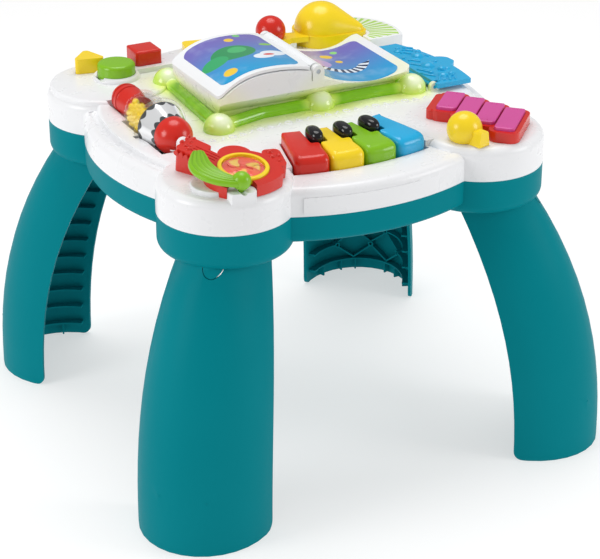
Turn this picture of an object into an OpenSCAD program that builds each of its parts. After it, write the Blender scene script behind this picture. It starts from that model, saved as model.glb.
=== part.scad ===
// Musical activity table: a white toy tray on a teal base with four half-round
// legs. Millimetres, +Z up, the origin on the floor under the middle of the table,
// the piano keys on the -Y side.

/* [Table] */
// Height of the play surface above the floor
table_h = 337; // [300:1:360]
// Distance between the centres of neighbouring corner lobes
lobe_pitch = 280; // [276:1:284]
// Radius of a corner lobe
lobe_r = 66; // [64:1:69]
// Distance from the middle of the table to the middle of a side
side_reach = 208; // [206:1:211]
// Radius of the bulge along a side
side_arc_r = 240; // [230:1:250]
// Height of the white shell's wall up to its rim
shell_wall_h = 28; // [26:1:32]
// Rise of the play surface above the rim
plateau_rise = 6; // [4:0.5:7]
// Distance of the raised middle's edge from the sides
plateau_inset = 14; // [12:0.5:16]
// Rounding of the white shell's shoulder
shoulder_r = 8; // [4:0.5:9]
// Rounding of the corner lobes' tops
lobe_round = 9; // [6:0.5:12]
// Depth of the teal base below the white shell
tray_h = 28; // [26:1:32]
// Wall of the two table shells
wall = 3; // [2.4:0.1:3.4]

/* [Legs] */
// Distance of a foot's open side from the middle of the table, along the diagonal
foot_reach = 264; // [255:1:270]
// Depth of a leg's half-oval section at the floor
foot_out = 73.4; // [70:0.2:75]
// Half the width of that section
foot_side = 67.2; // [64:0.2:69]
// Depth of the section where a leg enters its collar
leg_top_out = 69.6; // [66:0.2:70]
// Half the width of that section
leg_top_side = 43; // [40:0.2:46]
// Wall of a leg
leg_wall = 3.5; // [3:0.1:4]
// Distance between a leg's inner ribs
rib_pitch = 21.5; // [18:0.5:32]
// Depth of a leg's inner ribs
rib_depth = 9; // [6:0.5:12]
// How far a collar hangs below the base
collar_drop = 9; // [6:0.5:12]

/* [Keys] */
// Radius of the keyboard's front edge, about the point its keys fan from
keys_front_r = 275; // [270:1:278]
// Length of a coloured key
key_len = 65; // [60:1:68]
// Angle that one coloured key takes
key_angle = 7.75; // [7.2:0.05:8.1]
// Width of a black key
black_key_w = 15; // [12:0.5:17]
// Length of a black key
black_key_len = 28; // [24:1:34]
// Travel of a black key
press_travel = 3; // [2:0.5:3]

/* [Buttons] */
// Diameter of the round button
round_button_d = 40; // [36:1:42]
// Width of the square button
square_button_w = 30; // [26:1:32]
// Distance from the middle of the triangle button to a corner
triangle_button_r = 21; // [16:0.5:22]
// Height of the square and triangle buttons above their pad
tall_button_h = 16; // [12:1:20]
// Height of the round button above its pad
round_button_h = 12; // [8:1:14]

/* [Rattle] */
// Height of the rattle's axle above the play surface
rattle_axle_rise = 8; // [6:0.5:10]
// Radius of the clear flange
rattle_ring_r = 28; // [26:0.5:29]
// Radius of the clear barrel
rattle_barrel_r = 22; // [20:0.5:24]
// Diameter of the axle
rattle_axle_d = 6; // [5:0.5:7]

/* [Guitar] */
// Radius of the guitar's body
guitar_r = 37; // [35:0.5:38]
// Height of the guitar's face above its platform, under the disc
guitar_t = 11; // [10:0.5:12]
// Tilt of the guitar's face towards the front
guitar_tilt = 9; // [5:1:10]
// Outer radius of the yellow ring
spinner_ring_r = 24.5; // [22:0.5:26]
// Radius of the ball at the strum lever's pivot
strum_ball_r = 9; // [8:0.2:9.6]

/* [Xylophone] */
// Distance between neighbouring bars
bar_pitch = 22.5; // [21:0.5:23]
// Length of the shortest bar
bar_len = 47; // [42:1:48]
// Growth from one bar to the next
bar_step = 4; // [2:0.5:4]
// Radius of the yellow ball
mallet_ball_r = 17.6; // [16:0.2:18.4]
// Travel of the yellow ball
mallet_travel = 16; // [8:1:18]

/* [Book] */
// Width of the open book
book_w = 218; // [210:1:222]
// Depth of the book
book_d = 122; // [112:1:124]
// Height of the book's hinge above the play surface
book_axis_rise = 43; // [40:1:46]
// Thickness of the turning leaf
leaf_t = 3; // [2:0.2:4]
// Radius of the leaf's hinge barrel
leaf_barrel_r = 7; // [6.4:0.2:8]
// Diameter of the hinge pins
leaf_pin_d = 5; // [4:0.2:6]
// Radius of the light tube
tube_r = 7; // [6:0.2:8]
// Radius of the light tube's domes
lamp_r = 16; // [14:0.5:17]
// How far the book's foot draws in at its sides and front
foot_draw = 22; // [16:1:24]

/* [Horn and plates] */
// Length of the yellow slide track
track_len = 120; // [110:1:124]
// Width of the yellow slide track
track_w = 25; // [22:0.5:27]
// Travel of the red knob
knob_travel = 66; // [50:1:70]
// Radius of the red knob
knob_r = 16.5; // [15:0.5:19]
// Thickness of the blue pressing plate
plate_t = 5; // [4:0.5:6]
// Height of the horn's dome above the track
horn_h = 30; // [26:1:32]

/* [Hidden] */
$fn = 48;

// Small clearances that every fit in the toy is made from
seat_gap = 0.3;
bearing_gap = 0.05;
slide_gap = 0.4;
overshoot = 1;

// Levels of the table
rim_z = table_h - plateau_rise;
part_z = rim_z - shell_wall_h;
tray_z = part_z - tray_h;
collar_z = tray_z - collar_drop;
tray_floor_z = tray_z + wall;
lobe_at = lobe_pitch / 2;
side_half = lobe_at - 0.6 * lobe_r;
edge_r = 1.5;

// The board under the moving pieces, and the rubber domes on it
board_t = 1.6;
board_z = part_z - 4.6;
dome_h = 3;
dome_r = 4;
dome_top_z = board_z + board_t + dome_h;
stem_r = 3;
flange_t = 1.6;
post_r = 4;

// Colours
white = [0.96, 0.96, 0.97];
teal = [0.0, 0.54, 0.63];
red = [0.85, 0.15, 0.11];
yellow = [0.97, 0.83, 0.15];
green = [0.49, 0.76, 0.16];
blue = [0.0, 0.59, 0.85];
magenta = [0.78, 0.25, 0.6];
lime = [0.66, 0.87, 0.2];
dark = [0.08, 0.08, 0.09];
clear = [0.85, 0.9, 0.92, 0.5];
steel = [0.75, 0.76, 0.78];
board_green = [0.08, 0.4, 0.24];

// ---------------------------------------------------------------- shared forms

// What is left outside a rounded corner of radius r at the origin
module corner_waste(r) {
  difference() {
    square(r + overshoot);
    circle(r);
  }
}

// Profile of a round body of radius r and height h with rounded edges
module round_profile(r, h, top_r, bottom_r) {
  difference() {
    square([r, h]);
    if (top_r > 0)
      translate([r - top_r, h - top_r]) corner_waste(top_r);
    if (bottom_r > 0)
      translate([r - bottom_r, bottom_r]) mirror([0, 1]) corner_waste(bottom_r);
  }
}

// A round body of radius r and height h with rounded edges, standing on z = 0
module round_block(r, h, top_r = 0, bottom_r = 0) {
  rotate_extrude() round_profile(r, h, top_r, bottom_r);
}

// A rectangle with rounded corners, centred on the origin
module round_rect(w, d, r) {
  square([w - 2 * r, d], center = true);
  square([w, d - 2 * r], center = true);
  for (x = [-1, 1], y = [-1, 1])
    translate([x * (w / 2 - r), y * (d / 2 - r)]) circle(r);
}

// A block with a rounded plan whose top is crowned both ways
module crowned_block(w, d, h, plan_r, crown_r) {
  intersection() {
    linear_extrude(h) round_rect(w, d, plan_r);
    rotate([90, 0, 0]) linear_extrude(d + 2 * overshoot, center = true)
      crown_profile(w, h, crown_r);
    rotate([90, 0, 90]) linear_extrude(w + 2 * overshoot, center = true)
      crown_profile(d, h, crown_r);
  }
}

// Front view of a crowned block: a rectangle whose upper corners are rounded
module crown_profile(w, h, r) {
  difference() {
    translate([-w / 2, 0]) square([w, h]);
    for (s = [0, 1])
      mirror([s, 0]) translate([w / 2 - r, h - r]) corner_waste(r);
  }
}

// The table's outline is four corner lobes, four bulging sides and the middle.
// inset draws each in, z0 and z1 are its lower and upper faces.
module lobes(inset, z0, z1, top_r, bottom_r) {
  for (x = [-1, 1], y = [-1, 1])
    translate([x * lobe_at, y * lobe_at, z0])
      round_block(lobe_r - inset, z1 - z0, top_r, bottom_r);
}

module sides(inset, z0, z1, top_r, bottom_r, which = [0:3]) {
  for (side = which)
    rotate([0, 0, 90 * side]) intersection() {
      translate([side_reach - side_arc_r, 0, z0])
        round_block(side_arc_r - inset, z1 - z0, top_r, bottom_r);
      translate([0, -side_half, z0 - overshoot])
        cube([side_reach + overshoot, 2 * side_half, z1 - z0 + 2 * overshoot]);
    }
}

module middle(z0, z1) {
  translate([-side_half, -side_half, z0])
    cube([2 * side_half, 2 * side_half, z1 - z0]);
  for (x = [-1, 1], y = [-1, 1])
    translate([x * side_half, y * side_half, z0]) cylinder(r = lobe_r / 3, h = z1 - z0);
}

module table_blank(inset, z0, z1, top_r, bottom_r) {
  lobes(inset, z0, z1, top_r, bottom_r);
  sides(inset, z0, z1, top_r, bottom_r);
  middle(z0, z1);
}

// ---------------------------------------------------------------- places

// Raised pads on the white shell, and where the toys stand
pad_rise = 8;
pad_z = table_h + pad_rise;
pad_r = 5;
pad_margin = 5;
circle_at = [-129, 148];
triangle_at = [-147, 182];
triangle_turn = 78;
triangle_corner_r = 4;
triangle_pad_z = table_h + 3;
triangle_pad_r = lobe_r - 3;
square_at = [-88, 169];
flange_w = 2.4;
flange_gap = 2;

back_pad_x = [-108, 84];
back_pad_y = 146;

platform_z = table_h + 5;
platform_r = 24;
platform_at = [-160, -163];

fan_at = [-5, 108];
fan_turn = 0.75;
keys_back_r = keys_front_r - key_len;
key_count = 4;
key_turns = [for (i = [0:key_count - 1]) fan_turn + (i - (key_count - 1) / 2) * key_angle];
black_turns = [for (i = [1:key_count - 1]) fan_turn + (i - key_count / 2) * key_angle];
key_wall = 2.2;
key_gap = 0.7;
key_low_z = table_h - 11;
key_back_z = table_h + 12;
key_front_z = table_h + 10;
key_front_round = 9;
key_edge_round = 5;
ledge_y = 152;
well_floor_z = table_h - 16;
well_margin = 1.3;
hinge_pin_r = 1.9;
hinge_post_r = hinge_pin_r + 2;
hinge_back = key_wall + hinge_post_r + key_gap;
hinge_r = keys_back_r + hinge_back;
hinge_z = key_low_z + 2.5;
hinge_post_w = 5;
key_swing = 3.5;
plunger_back = 25;
plunger_r = keys_front_r - plunger_back;
plunger_rod_r = 2.5;
black_at_r = keys_back_r + 2 + black_key_len / 2;
black_low_z = table_h + 3;
black_h = 17;
black_gap = 1.1;
notch_corner_r = 2.5;
guide_h = 6;

rattle_x = -150;
rattle_z = table_h + rattle_axle_rise;
rattle_ring_y = -13;
rattle_ring_t = 5;
rattle_near_y = -65;
rattle_far_y = 86;
rattle_gap = 1.2;
bearing_t = 6;
bearing_r = 6.5;

guitar_at = [-133, -166];
guitar_turn = 26;
guitar_z = platform_z + guitar_t;
spinner_recess = 4;
strum_offset = [-16, -29];
strum_boss_r = 14;
strum_stem_r = 3;
strum_lift = 1;
strum_blade_t = 7;

xylo_at = [146, -133];
xylo_turn = -44.5;
xylo_shift = 11;
bar_gap = 1.6;
bar_t = 6;
xylo_base_h = 11;
xylo_rim = 5;
bar_recess = 5;
bar_travel = 2;
mallet_at = [107, -167];
mallet_lift = 11;
mallet_stem_w = 6;
mallet_neck = 27;
mallet_neck_h = 15;

book_x = 16;
book_y = 27;
book_axis_z = table_h + book_axis_rise;
book_wall = 3;
book_corner_r = 8;
leaf_root = leaf_barrel_r + 1;
leaf_w = book_w / 2 + 1;
leaf_d = book_d - 4;
leaf_crest_at = 50;
leaf_start_rise = 4;
leaf_crest_rise = 11;
leaf_end_drop = 10;
leaf_swing = 189;
bed_turn = 190.5;
leaf_gap = 1.2;
bed_rim_x = leaf_w - 1;
lug_t = 6;
label_t = 0.4;

track_at = [22, 168];
track_turn = -12;
track_t = 6;
track_slot_w = 8;
horn_at = [123.5, 163.5];
horn_turn = -36;
horn_ball_r = 30;
horn_end_r = 9;
horn_end_at = 39;
horn_lip = 2.4;
knob_start = 38;

plate_z = table_h + 1;
plate_lift = 3.2;
plate_swing = 3;
plate_hinge_r = 2;

corner_r = lobe_r - 1;
corner_pad_h = 10;

// Battery case in the underside of the base, and the pieces beside it
cell_d = 14.2;
cell_len = 49;
cell_count = 3;
cell_pitch = 15.4;
case_at = [0, 30];
case_w = 62;
case_d = cell_count * cell_pitch + 3;
case_h = 19;
door_t = 2.4;
door_lip = 4;
speaker_at = [62, -40];
speaker_r = 27;
switch_at = [-58, 30];
switch_slot = [16, 6];
switch_travel = 6;

// ---------------------------------------------------------------- plans

module at_table(place, turn = 0) {
  translate([place[0], place[1], 0]) rotate([0, 0, turn]) children();
}

// Places children at a key: its length runs along -Y from the fan's centre
module at_key(turn) {
  translate([fan_at[0], fan_at[1], 0]) rotate([0, 0, turn]) children();
}

// A sector of the keyboard: profile in radius and height, over an angle
module fan_sector(turn, angle) {
  at_key(turn) rotate([0, 0, -90 - angle / 2]) rotate_extrude(angle = angle) children();
}

// The guitar's own frame: its origin in the middle of the tilted face
module on_guitar() {
  translate([guitar_at[0], guitar_at[1], guitar_z]) rotate([guitar_tilt, 0, 0]) children();
}

module triangle_plan(r, grow = 0) {
  offset(r = triangle_corner_r + grow, $fn = 32)
    circle(r = r - 2 * triangle_corner_r, $fn = 3);
}

module circle_plan(grow = 0) {
  circle(round_button_d / 2 + grow);
}

module square_plan(grow = 0) {
  round_rect(square_button_w + 2 * grow, square_button_w + 2 * grow, 4 + grow);
}

// Point k of the leaf's upper face at distance u left of the hinge
function leaf_rise(u) =
  u < leaf_crest_at
    ? leaf_start_rise + (leaf_crest_rise - leaf_start_rise) * sin(90 * u / leaf_crest_at)
    : leaf_crest_rise - (leaf_crest_rise + leaf_end_drop)
      * pow((u - leaf_crest_at) / (leaf_w - leaf_crest_at), 2.6);
leaf_steps = 14;
function leaf_u(k, from, to) = from + (to - from) * k / leaf_steps;
function leaf_line(from, to, drop) =
  [for (k = [0:leaf_steps]) let (u = leaf_u(k, from, to)) [-u, leaf_rise(u) - drop]];
function turned(p, a) = [p[0] * cos(a) + p[1] * sin(a), -p[0] * sin(a) + p[1] * cos(a)];
function turned_line(line, a) = [for (p = line) turned(p, a)];
function reversed(line) = [for (k = [len(line) - 1:-1:0]) line[k]];

// Extrudes a front view (X, Z about the book's hinge) along the book's depth
module along_book(depth, shift = 0) {
  translate([book_x, book_y + shift + depth / 2, book_axis_z]) rotate([90, 0, 0])
    linear_extrude(depth) children();
}

module book_plan(grow = 0) {
  translate([book_x, book_y]) round_rect(book_w + 2 * grow, book_d + 2 * grow,
                      book_corner_r + grow);
}

// ---------------------------------------------------------------- top shell

module outer_form() {
  lobes(0, part_z, table_h, lobe_round, 0);
  sides(0, part_z, rim_z, shoulder_r, 0);
  middle(part_z, table_h);
  sides(plateau_inset, rim_z - overshoot, table_h, plateau_rise - 1, 0, [0:2]);
  key_ledge(0);
  pads(0);
}

module inner_form() {
  lobes(wall, part_z - overshoot, table_h - wall, lobe_round - wall, 0);
  sides(wall, part_z - overshoot, rim_z - wall, shoulder_r - wall, 0);
  middle(part_z - overshoot, table_h - wall);
  sides(plateau_inset + wall, rim_z - wall - overshoot, table_h - wall, 0, 0, [0:1]);
  key_ledge(wall);
  pads(wall);
}

// The middle's level carried forward on both sides of the keys
module key_ledge(inset) {
  translate([-side_half, -ledge_y + inset, rim_z - 2 * wall])
    cube([2 * side_half, ledge_y - inset, table_h - inset - rim_z + 2 * wall]);
}

// Flat panel that stands a little proud of the front
module front_panel() {
  intersection() {
    translate([0, side_arc_r - side_reach, part_z + 3])
      cylinder(r = side_arc_r + panel_t, h = panel_h);
    translate([panel_x[0], -side_reach - lobe_r, part_z])
      cube([panel_x[1] - panel_x[0], lobe_r + plateau_inset, shell_wall_h]);
  }
}
panel_t = 1.2;
panel_h = shell_wall_h - 12;
panel_x = [-95, 35];

// Shallow groove along the left side
module side_groove() {
  intersection() {
    translate([groove_r - side_reach + groove_inset, 0, rim_z + 2.4])
      rotate_extrude() translate([groove_r, 0]) circle(4);
    translate([-side_reach, -groove_half, rim_z - 5])
      cube([lobe_r, 2 * groove_half, lobe_r]);
  }
}
groove_r = 400;
groove_inset = 15;
groove_half = 88;

// The raised pads that the toys stand on
module pads(inset) {
  low = rim_z - wall + (inset > 0 ? -overshoot : 0);
  at_table(circle_at) translate([0, 0, low])
    round_block(round_button_d / 2 + pad_margin - inset, pad_z - inset - low,
          inset > 0 ? 0 : pad_r);
  translate([-lobe_at, lobe_at, low])
    round_block(triangle_pad_r - inset, triangle_pad_z - inset - low,
          inset > 0 ? 0 : triangle_pad_z - table_h);
  intersection() {
    table_blank(plateau_inset + inset, low, pad_z - inset, inset > 0 ? 0 : pad_r, 0);
    translate([back_pad_x[0] + inset, back_pad_y + inset, low - overshoot])
      cube([back_pad_x[1] - back_pad_x[0] - 2 * inset, side_reach, pad_z]);
  }
  at_table(platform_at) translate([0, 0, low])
    round_block(platform_r - inset, platform_z - inset - low, inset > 0 ? 0 : edge_r);
  intersection() {
    at_table(strum_at) translate([0, 0, low])
      round_block(strum_boss_r - inset, strum_boss_z - inset - low, inset > 0 ? 0 : edge_r);
    translate([-lobe_at, -lobe_at, low]) cylinder(r = lobe_r - 1 - inset, h = lobe_r);
  }
}
strum_boss_z = platform_z + 2;
strum_at = guitar_at + strum_offset;

// Keyboard well; grow gives the walls round it
module key_well(grow) {
  side = key_count * key_angle + 2 * (well_margin + grow) / keys_front_r * 57.3;
  fan_sector(fan_turn, side)
    translate([keys_back_r - well_margin - grow, well_floor_z - grow])
      square([key_len + 2 * (well_margin + grow), pad_z]);
}

// Trough of the rattle; grow gives the walls round it
module rattle_trough(grow) {
  translate([rattle_x, 0, rattle_z]) rotate([-90, 0, 0]) {
    trough_part(rattle_near_y, barrel_far_y, rattle_barrel_r, grow);
    trough_part(barrel_far_y - 1, rattle_far_y, back_cap_r, grow);
    trough_cone(grow);
    trough_part(rattle_ring_y - rattle_ring_t / 2, rattle_ring_y + rattle_ring_t / 2,
          rattle_ring_r, grow);
  }
}

// Room for the mirror's cone, wider towards the ring
module trough_cone(grow) {
  room = rattle_gap + grow;
  translate([0, 0, mirror_near_y])
    cylinder(r1 = front_cap_r + room, r2 = mirror_far_r + room,
         h = rattle_ring_y - rattle_ring_t / 2 - mirror_near_y);
}
mirror_far_r = rattle_ring_r - 3;

module trough_part(from, to, r, grow) {
  room = rattle_gap + grow;
  translate([0, 0, from - room]) cylinder(r = r + room, h = to - from + 2 * room);
}
back_cap_r = 15.8;
front_cap_r = 19;
barrel_far_y = 33;

module rattle_bearings() {
  for (side = [rattle_near_y - rattle_gap - bearing_t, rattle_far_y + rattle_gap])
    translate([rattle_x, side, rattle_z]) {
      rotate([-90, 0, 0]) cylinder(r = bearing_r, h = bearing_t);
      translate([-bearing_r, 0, rim_z - rattle_z])
        cube([2 * bearing_r, bearing_t, rattle_z - rim_z]);
    }
}

// Posts in the keyboard well that carry the coloured keys' pins
module hinge_posts() {
  for (turn = key_turns)
    at_key(turn) translate([0, -hinge_r, hinge_z]) {
      rotate([0, 90, 0]) cylinder(r = hinge_post_r, h = hinge_post_w, center = true);
      translate([-hinge_post_w / 2, -hinge_post_r, well_floor_z - hinge_z - overshoot])
        cube([hinge_post_w, 2 * hinge_post_r, hinge_z - well_floor_z + overshoot]);
    }
}

module hinge_bores() {
  for (turn = key_turns)
    at_key(turn) translate([0, -hinge_r, hinge_z]) {
      rotate([0, 90, 0])
        cylinder(r = hinge_pin_r + bearing_gap, h = hinge_post_w + 2, center = true);
      translate([-hinge_post_w / 2 - 1, -hinge_pin_r * 0.7, 0])
        cube([hinge_post_w + 2, hinge_pin_r * 1.4, 2 * hinge_pin_r + 4]);
    }
}

// Guides under the well for the black keys' stems
module black_guides() {
  for (turn = black_turns)
    at_key(turn) translate([0, -black_at_r, well_floor_z - wall - guide_h])
      cylinder(r = stem_r + 2, h = guide_h + overshoot);
}

module key_holes() {
  for (turn = black_turns)
    at_key(turn) translate([0, -black_at_r, part_z])
      cylinder(r = stem_r + bearing_gap, h = table_h - part_z);
  for (turn = key_turns)
    at_key(turn) translate([0, -plunger_r, part_z])
      cylinder(r = plunger_rod_r + 1.5, h = table_h - part_z);
}

module button_holes() {
  translate([0, 0, rim_z - 2 * wall]) {
    at_table(circle_at) linear_extrude(pad_z) circle_plan(slide_gap);
    at_table(triangle_at, triangle_turn) linear_extrude(pad_z)
      triangle_plan(triangle_button_r, slide_gap);
    at_table(square_at) linear_extrude(pad_z) square_plan(slide_gap);
  }
}

// Holes for the stems of the xylophone's bars, and the slots of the two sliders
module toy_slots() {
  for (i = [0:3], s = [-1, 1])
    at_bar(i) translate([0, s * bar_stem_y(i), part_z])
      cylinder(r = stem_r, h = table_h - part_z + overshoot);
  at_table(mallet_at, mallet_turn) translate([-mallet_travel, 0, part_z])
    linear_extrude(table_h) slot_plan(mallet_travel, mallet_stem_w + 2 * slide_gap);
  at_table(track_at, track_turn) translate([knob_start - knob_travel, 0, part_z])
    linear_extrude(pad_z) slot_plan(knob_travel, track_slot_w + 2);
  on_guitar() translate([strum_offset[0], strum_offset[1], -lobe_r])
    cylinder(r = strum_stem_r + bearing_gap, h = lobe_r);
}
mallet_turn = -70;

// A slot of one length between the centres of its round ends
module slot_plan(len, w) {
  translate([0, -w / 2]) square([len, w]);
  circle(d = w);
  translate([len, 0]) circle(d = w);
}

module screw_posts(z0, z1, r) {
  for (x = [-1, 1], y = [-1, 1])
    translate([x * side_half, y * side_half, z0]) cylinder(r = r, h = z1 - z0);
}
screw_post_r = 5;
screw_hole_r = 1.5;

module top_shell() {
  color(white) difference() {
    union() {
      difference() {
        outer_form();
        inner_form();
      }
      intersection() {
        union() {
          key_well(wall);
          rattle_trough(wall);
        }
        outer_form();
      }
      rattle_bearings();
      plate_ears();
      front_panel();
      black_guides();
      screw_posts(part_z, table_h - wall, screw_post_r);
    }
    difference() {
      key_well(0);
      hinge_posts();
    }
    rattle_trough(0);
    translate([rattle_x, 0, rattle_z]) rotate([90, 0, 0])
      cylinder(d = rattle_axle_d + 2 * bearing_gap, h = 2 * lobe_pitch, center = true);
    hinge_bores();
    key_holes();
    button_holes();
    toy_slots();
    side_groove();
    plate_pin(plate_hinge_r + bearing_gap, 2 * overshoot);
    translate([0, 0, -overshoot]) screw_posts(part_z, table_h - 2 * wall, screw_hole_r);
  }
}

// ---------------------------------------------------------------- teal base

// Half-oval section of a leg at a height, on the diagonal, its open side towards the
// table: a line of points over half the angle on both sides
spigot_h = 22;
leg_top_at = lobe_at * sqrt(2) - 7.5;
leg_steps = 16;
function leg_t(z) = min(z / collar_z, 1);
function leg_at(z) = foot_reach - (foot_reach - leg_top_at) * pow(leg_t(z), 2.28);
function leg_out(z) = foot_out - (foot_out - leg_top_out) * pow(leg_t(z), 3.4);
function leg_side(z) = foot_side - (foot_side - leg_top_side) * pow(leg_t(z), 3);
function leg_arc(z, inset, from = -90, to = 90) =
  [for (k = [0:leg_steps]) let (a = from + (to - from) * k / leg_steps)
    [leg_at(z) + (leg_out(z) - inset) * cos(a), (leg_side(z) - inset) * sin(a)]];

module leg_sockets(grow) {
  room = seat_gap + grow;
  low = grow > 0 ? 0 : 1;
  for (turn = [45:90:315])
    rotate([0, 0, turn]) translate([0, 0, collar_z - low])
      linear_extrude(spigot_h + low + room)
        polygon(concat(leg_arc(collar_z, -room),
                [for (s = [1, -1]) [leg_top_at - room, s * (leg_top_side + room)]]));
}

module tray_outer() {
  table_blank(0, tray_z, part_z, 0, 8);
  for (x = [-1, 1], y = [-1, 1])
    translate([x * lobe_at, y * lobe_at, collar_z])
      round_block(lobe_r, part_z - collar_z, 0, 11);
}

module battery_case(grow) {
  translate([case_at[0] - case_w / 2 - grow, case_at[1] - case_d / 2 - grow, tray_z - 1])
    cube([case_w + 2 * grow, case_d + 2 * grow, case_h + grow + 1]);
}

module door_recess() {
  translate([0, 0, tray_z - overshoot]) linear_extrude(door_t + overshoot) door_plan(0);
}

// The door's plan: the lid with a tab for its screw
module door_plan(inset) {
  translate(case_at)
    square([case_w + 2 * (door_lip - inset), case_d + 2 * (door_lip - inset)], center = true);
  translate(door_screw_at) circle(door_tab_r - inset);
  translate([door_screw_at[0], door_screw_at[1] - door_tab_r])
    square([2 * (door_tab_r - inset), 2 * door_tab_r], center = true);
}
door_tab_r = 6;
door_screw_at = [case_at[0], case_at[1] + case_d / 2 + door_lip + 4];

module board_posts() {
  for (p = board_post_places)
    translate([p[0], p[1], tray_z + 1]) cylinder(r = post_r, h = board_z - tray_z - 1);
}
main_board_at = [0, 30];
main_board_w = 120;
main_board_d = 84;
button_board_at = [-120, 165];
board_post_places = [
  [main_board_at[0] - main_board_w / 2 + 8, main_board_at[1] - main_board_d / 2 + 8],
  [main_board_at[0] + main_board_w / 2 - 8, main_board_at[1] - main_board_d / 2 + 8],
  [main_board_at[0] - main_board_w / 2 + 8, main_board_at[1] + main_board_d / 2 - 8],
  [main_board_at[0] + main_board_w / 2 - 8, main_board_at[1] + main_board_d / 2 - 8],
  [-96, 150], [-152, 152], [-96, 184],
  [-62, -124], [-4, -128], [58, -118],
  [126, -104], [166, -156]
];

module grille_holes() {
  for (ring = [0:3], k = [0:max(1, 6 * ring) - 1])
    at_table(speaker_at) rotate([0, 0, 60 * k / max(1, ring)])
      translate([ring * 6, 0, tray_z - overshoot]) cylinder(r = 1.6, h = wall + 2 * overshoot, $fn = 24);
}

module base_tray() {
  color(teal) difference() {
    union() {
      difference() {
        tray_outer();
        table_blank(wall, tray_floor_z, part_z + overshoot, 0, 5);
      }
      intersection() {
        leg_sockets(wall);
        tray_outer();
      }
      battery_case(wall);
      board_posts();
      screw_posts(tray_z + 1, part_z, screw_post_r);
      at_table(speaker_at) translate([0, 0, tray_z + 1])
        cylinder(r = speaker_r + wall, h = wall + 3);
      translate([door_screw_at[0], door_screw_at[1], tray_z + 1])
        cylinder(r = 4, h = 12);
    }
    leg_sockets(0);
    battery_case(0);
    door_recess();
    grille_holes();
    at_table(speaker_at) translate([0, 0, tray_floor_z])
      cylinder(r = speaker_r + seat_gap, h = wall + 3);
    translate([switch_at[0] - switch_slot[0] / 2, switch_at[1] - switch_slot[1] / 2,
          tray_z - overshoot])
      cube([switch_slot[0], switch_slot[1], wall + 2 * overshoot]);
    translate([0, 0, tray_z - overshoot]) screw_posts(0, tray_h + 2, screw_hole_r + 0.3);
    translate([0, 0, tray_z - overshoot]) screw_posts(0, 6, 3.4);
    translate([door_screw_at[0], door_screw_at[1], tray_z - overshoot])
      cylinder(r = 1.3, h = 12);
  }
}

// ---------------------------------------------------------------- legs

leg_levels = [for (i = [0:12]) collar_z * i / 12, collar_z + spigot_h];

// The shell between the floor and the end of its spigot, as rings of points
module leg_skin() {
  per_ring = 2 * (leg_steps + 1);
  points = [for (z = leg_levels, p = concat(leg_arc(z, 0), reversed(leg_arc(z, leg_wall))))
    [p[0], p[1], z]];
  sides = [for (i = [0:len(leg_levels) - 2], k = [0:per_ring - 1])
    let (a = i * per_ring + k, b = i * per_ring + (k + 1) % per_ring)
      each [[a, a + per_ring, b], [b, a + per_ring, b + per_ring]]];
  foot = [for (k = [0:leg_steps - 1])
    each [[k, k + 1, per_ring - 1 - k], [k + 1, per_ring - 2 - k, per_ring - 1 - k]]];
  top = (len(leg_levels) - 1) * per_ring;
  head = [for (f = foot) [f[2] + top, f[1] + top, f[0] + top]];
  polyhedron(points, concat(sides, foot, head), convexity = 6);
}

// A level rib inside a leg between two angles, rooted in the wall
module leg_rib(z, from = -84, to = 84) {
  translate([0, 0, z - 1]) linear_extrude(2)
    polygon(concat(leg_arc(z, leg_wall / 2, from, to),
            reversed(leg_arc(z, leg_wall + rib_depth, from, to))));
}

// Places children at a leg's outer face, their X axis pointing away from the table
module at_leg_wall(a, z) {
  translate([leg_at(z) + leg_out(z) * cos(a), leg_side(z) * sin(a), z])
    rotate([0, 0, atan2(leg_out(z) * sin(a), leg_side(z) * cos(a))]) children();
}

// A straight rib inside a leg, upright or slanting, about the middle of its length
module leg_brace(a, z, len, slant = 0) {
  at_leg_wall(a, z) rotate([slant, 0, 0]) translate([0.5 - leg_wall - rib_depth, -0.9, -len / 2])
    cube([rib_depth + leg_wall / 2 - 0.5, 1.8, len]);
}

module leg_boss(a, z) {
  at_leg_wall(a, z) rotate([0, -90, 0]) translate([0, 0, leg_wall / 2]) difference() {
    cylinder(r = 3.4, h = rib_depth + leg_wall / 2 + 0.5);
    translate([0, 0, leg_wall]) cylinder(r = 1.7, h = rib_depth);
  }
}

// Diamond lattice of ribs over the foot, its crossings screw bosses
module leg_lattice() {
  for (row = [1, 2], k = [-1.5:1.5])
    leg_brace(22 * k, low_rib_z + rib_pitch * (row - 0.5), 30,
         52 * cos(180 * (k + 1.5)) * cos(180 * (row - 1)));
  for (a = [-44:44:44]) leg_boss(a, low_rib_z + rib_pitch);
  for (s = [-1, 1]) {
    leg_boss(22 * s, low_rib_z + 2 * rib_pitch);
    for (row = [1, 2])
      leg_rib(low_rib_z + row * rib_pitch, s * (row == 1 ? 47 : 25), s * 84);
    for (a = [20, 38, 64]) leg_brace(s * a, low_rib_z / 2 + 1, low_rib_z - 2);
  }
}
low_rib_z = 16;

// Slot round the tongue that a thumb presses to free a leg
module tongue_slot() {
  translate([leg_at(collar_z), tongue_shift, collar_z + 2]) rotate([90, 0, 90])
    linear_extrude(leg_top_out + lobe_r) {
      difference() {
        circle(tongue_r);
        circle(tongue_r - tongue_gap);
        translate([-lobe_r, 0]) square(2 * lobe_r);
      }
      for (x = [-tongue_r, tongue_r - tongue_gap])
        translate([x, -0.1]) square([tongue_gap, spigot_h / 2]);
    }
}
tongue_r = 9.6;
tongue_gap = 0.8;
tongue_shift = 8;

module foot_corners() {
  translate([foot_reach + foot_corner_r, 0, foot_corner_r]) rotate([90, 180, 0])
    linear_extrude(3 * foot_side, center = true) corner_waste(foot_corner_r);
}
foot_corner_r = 9;

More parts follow.
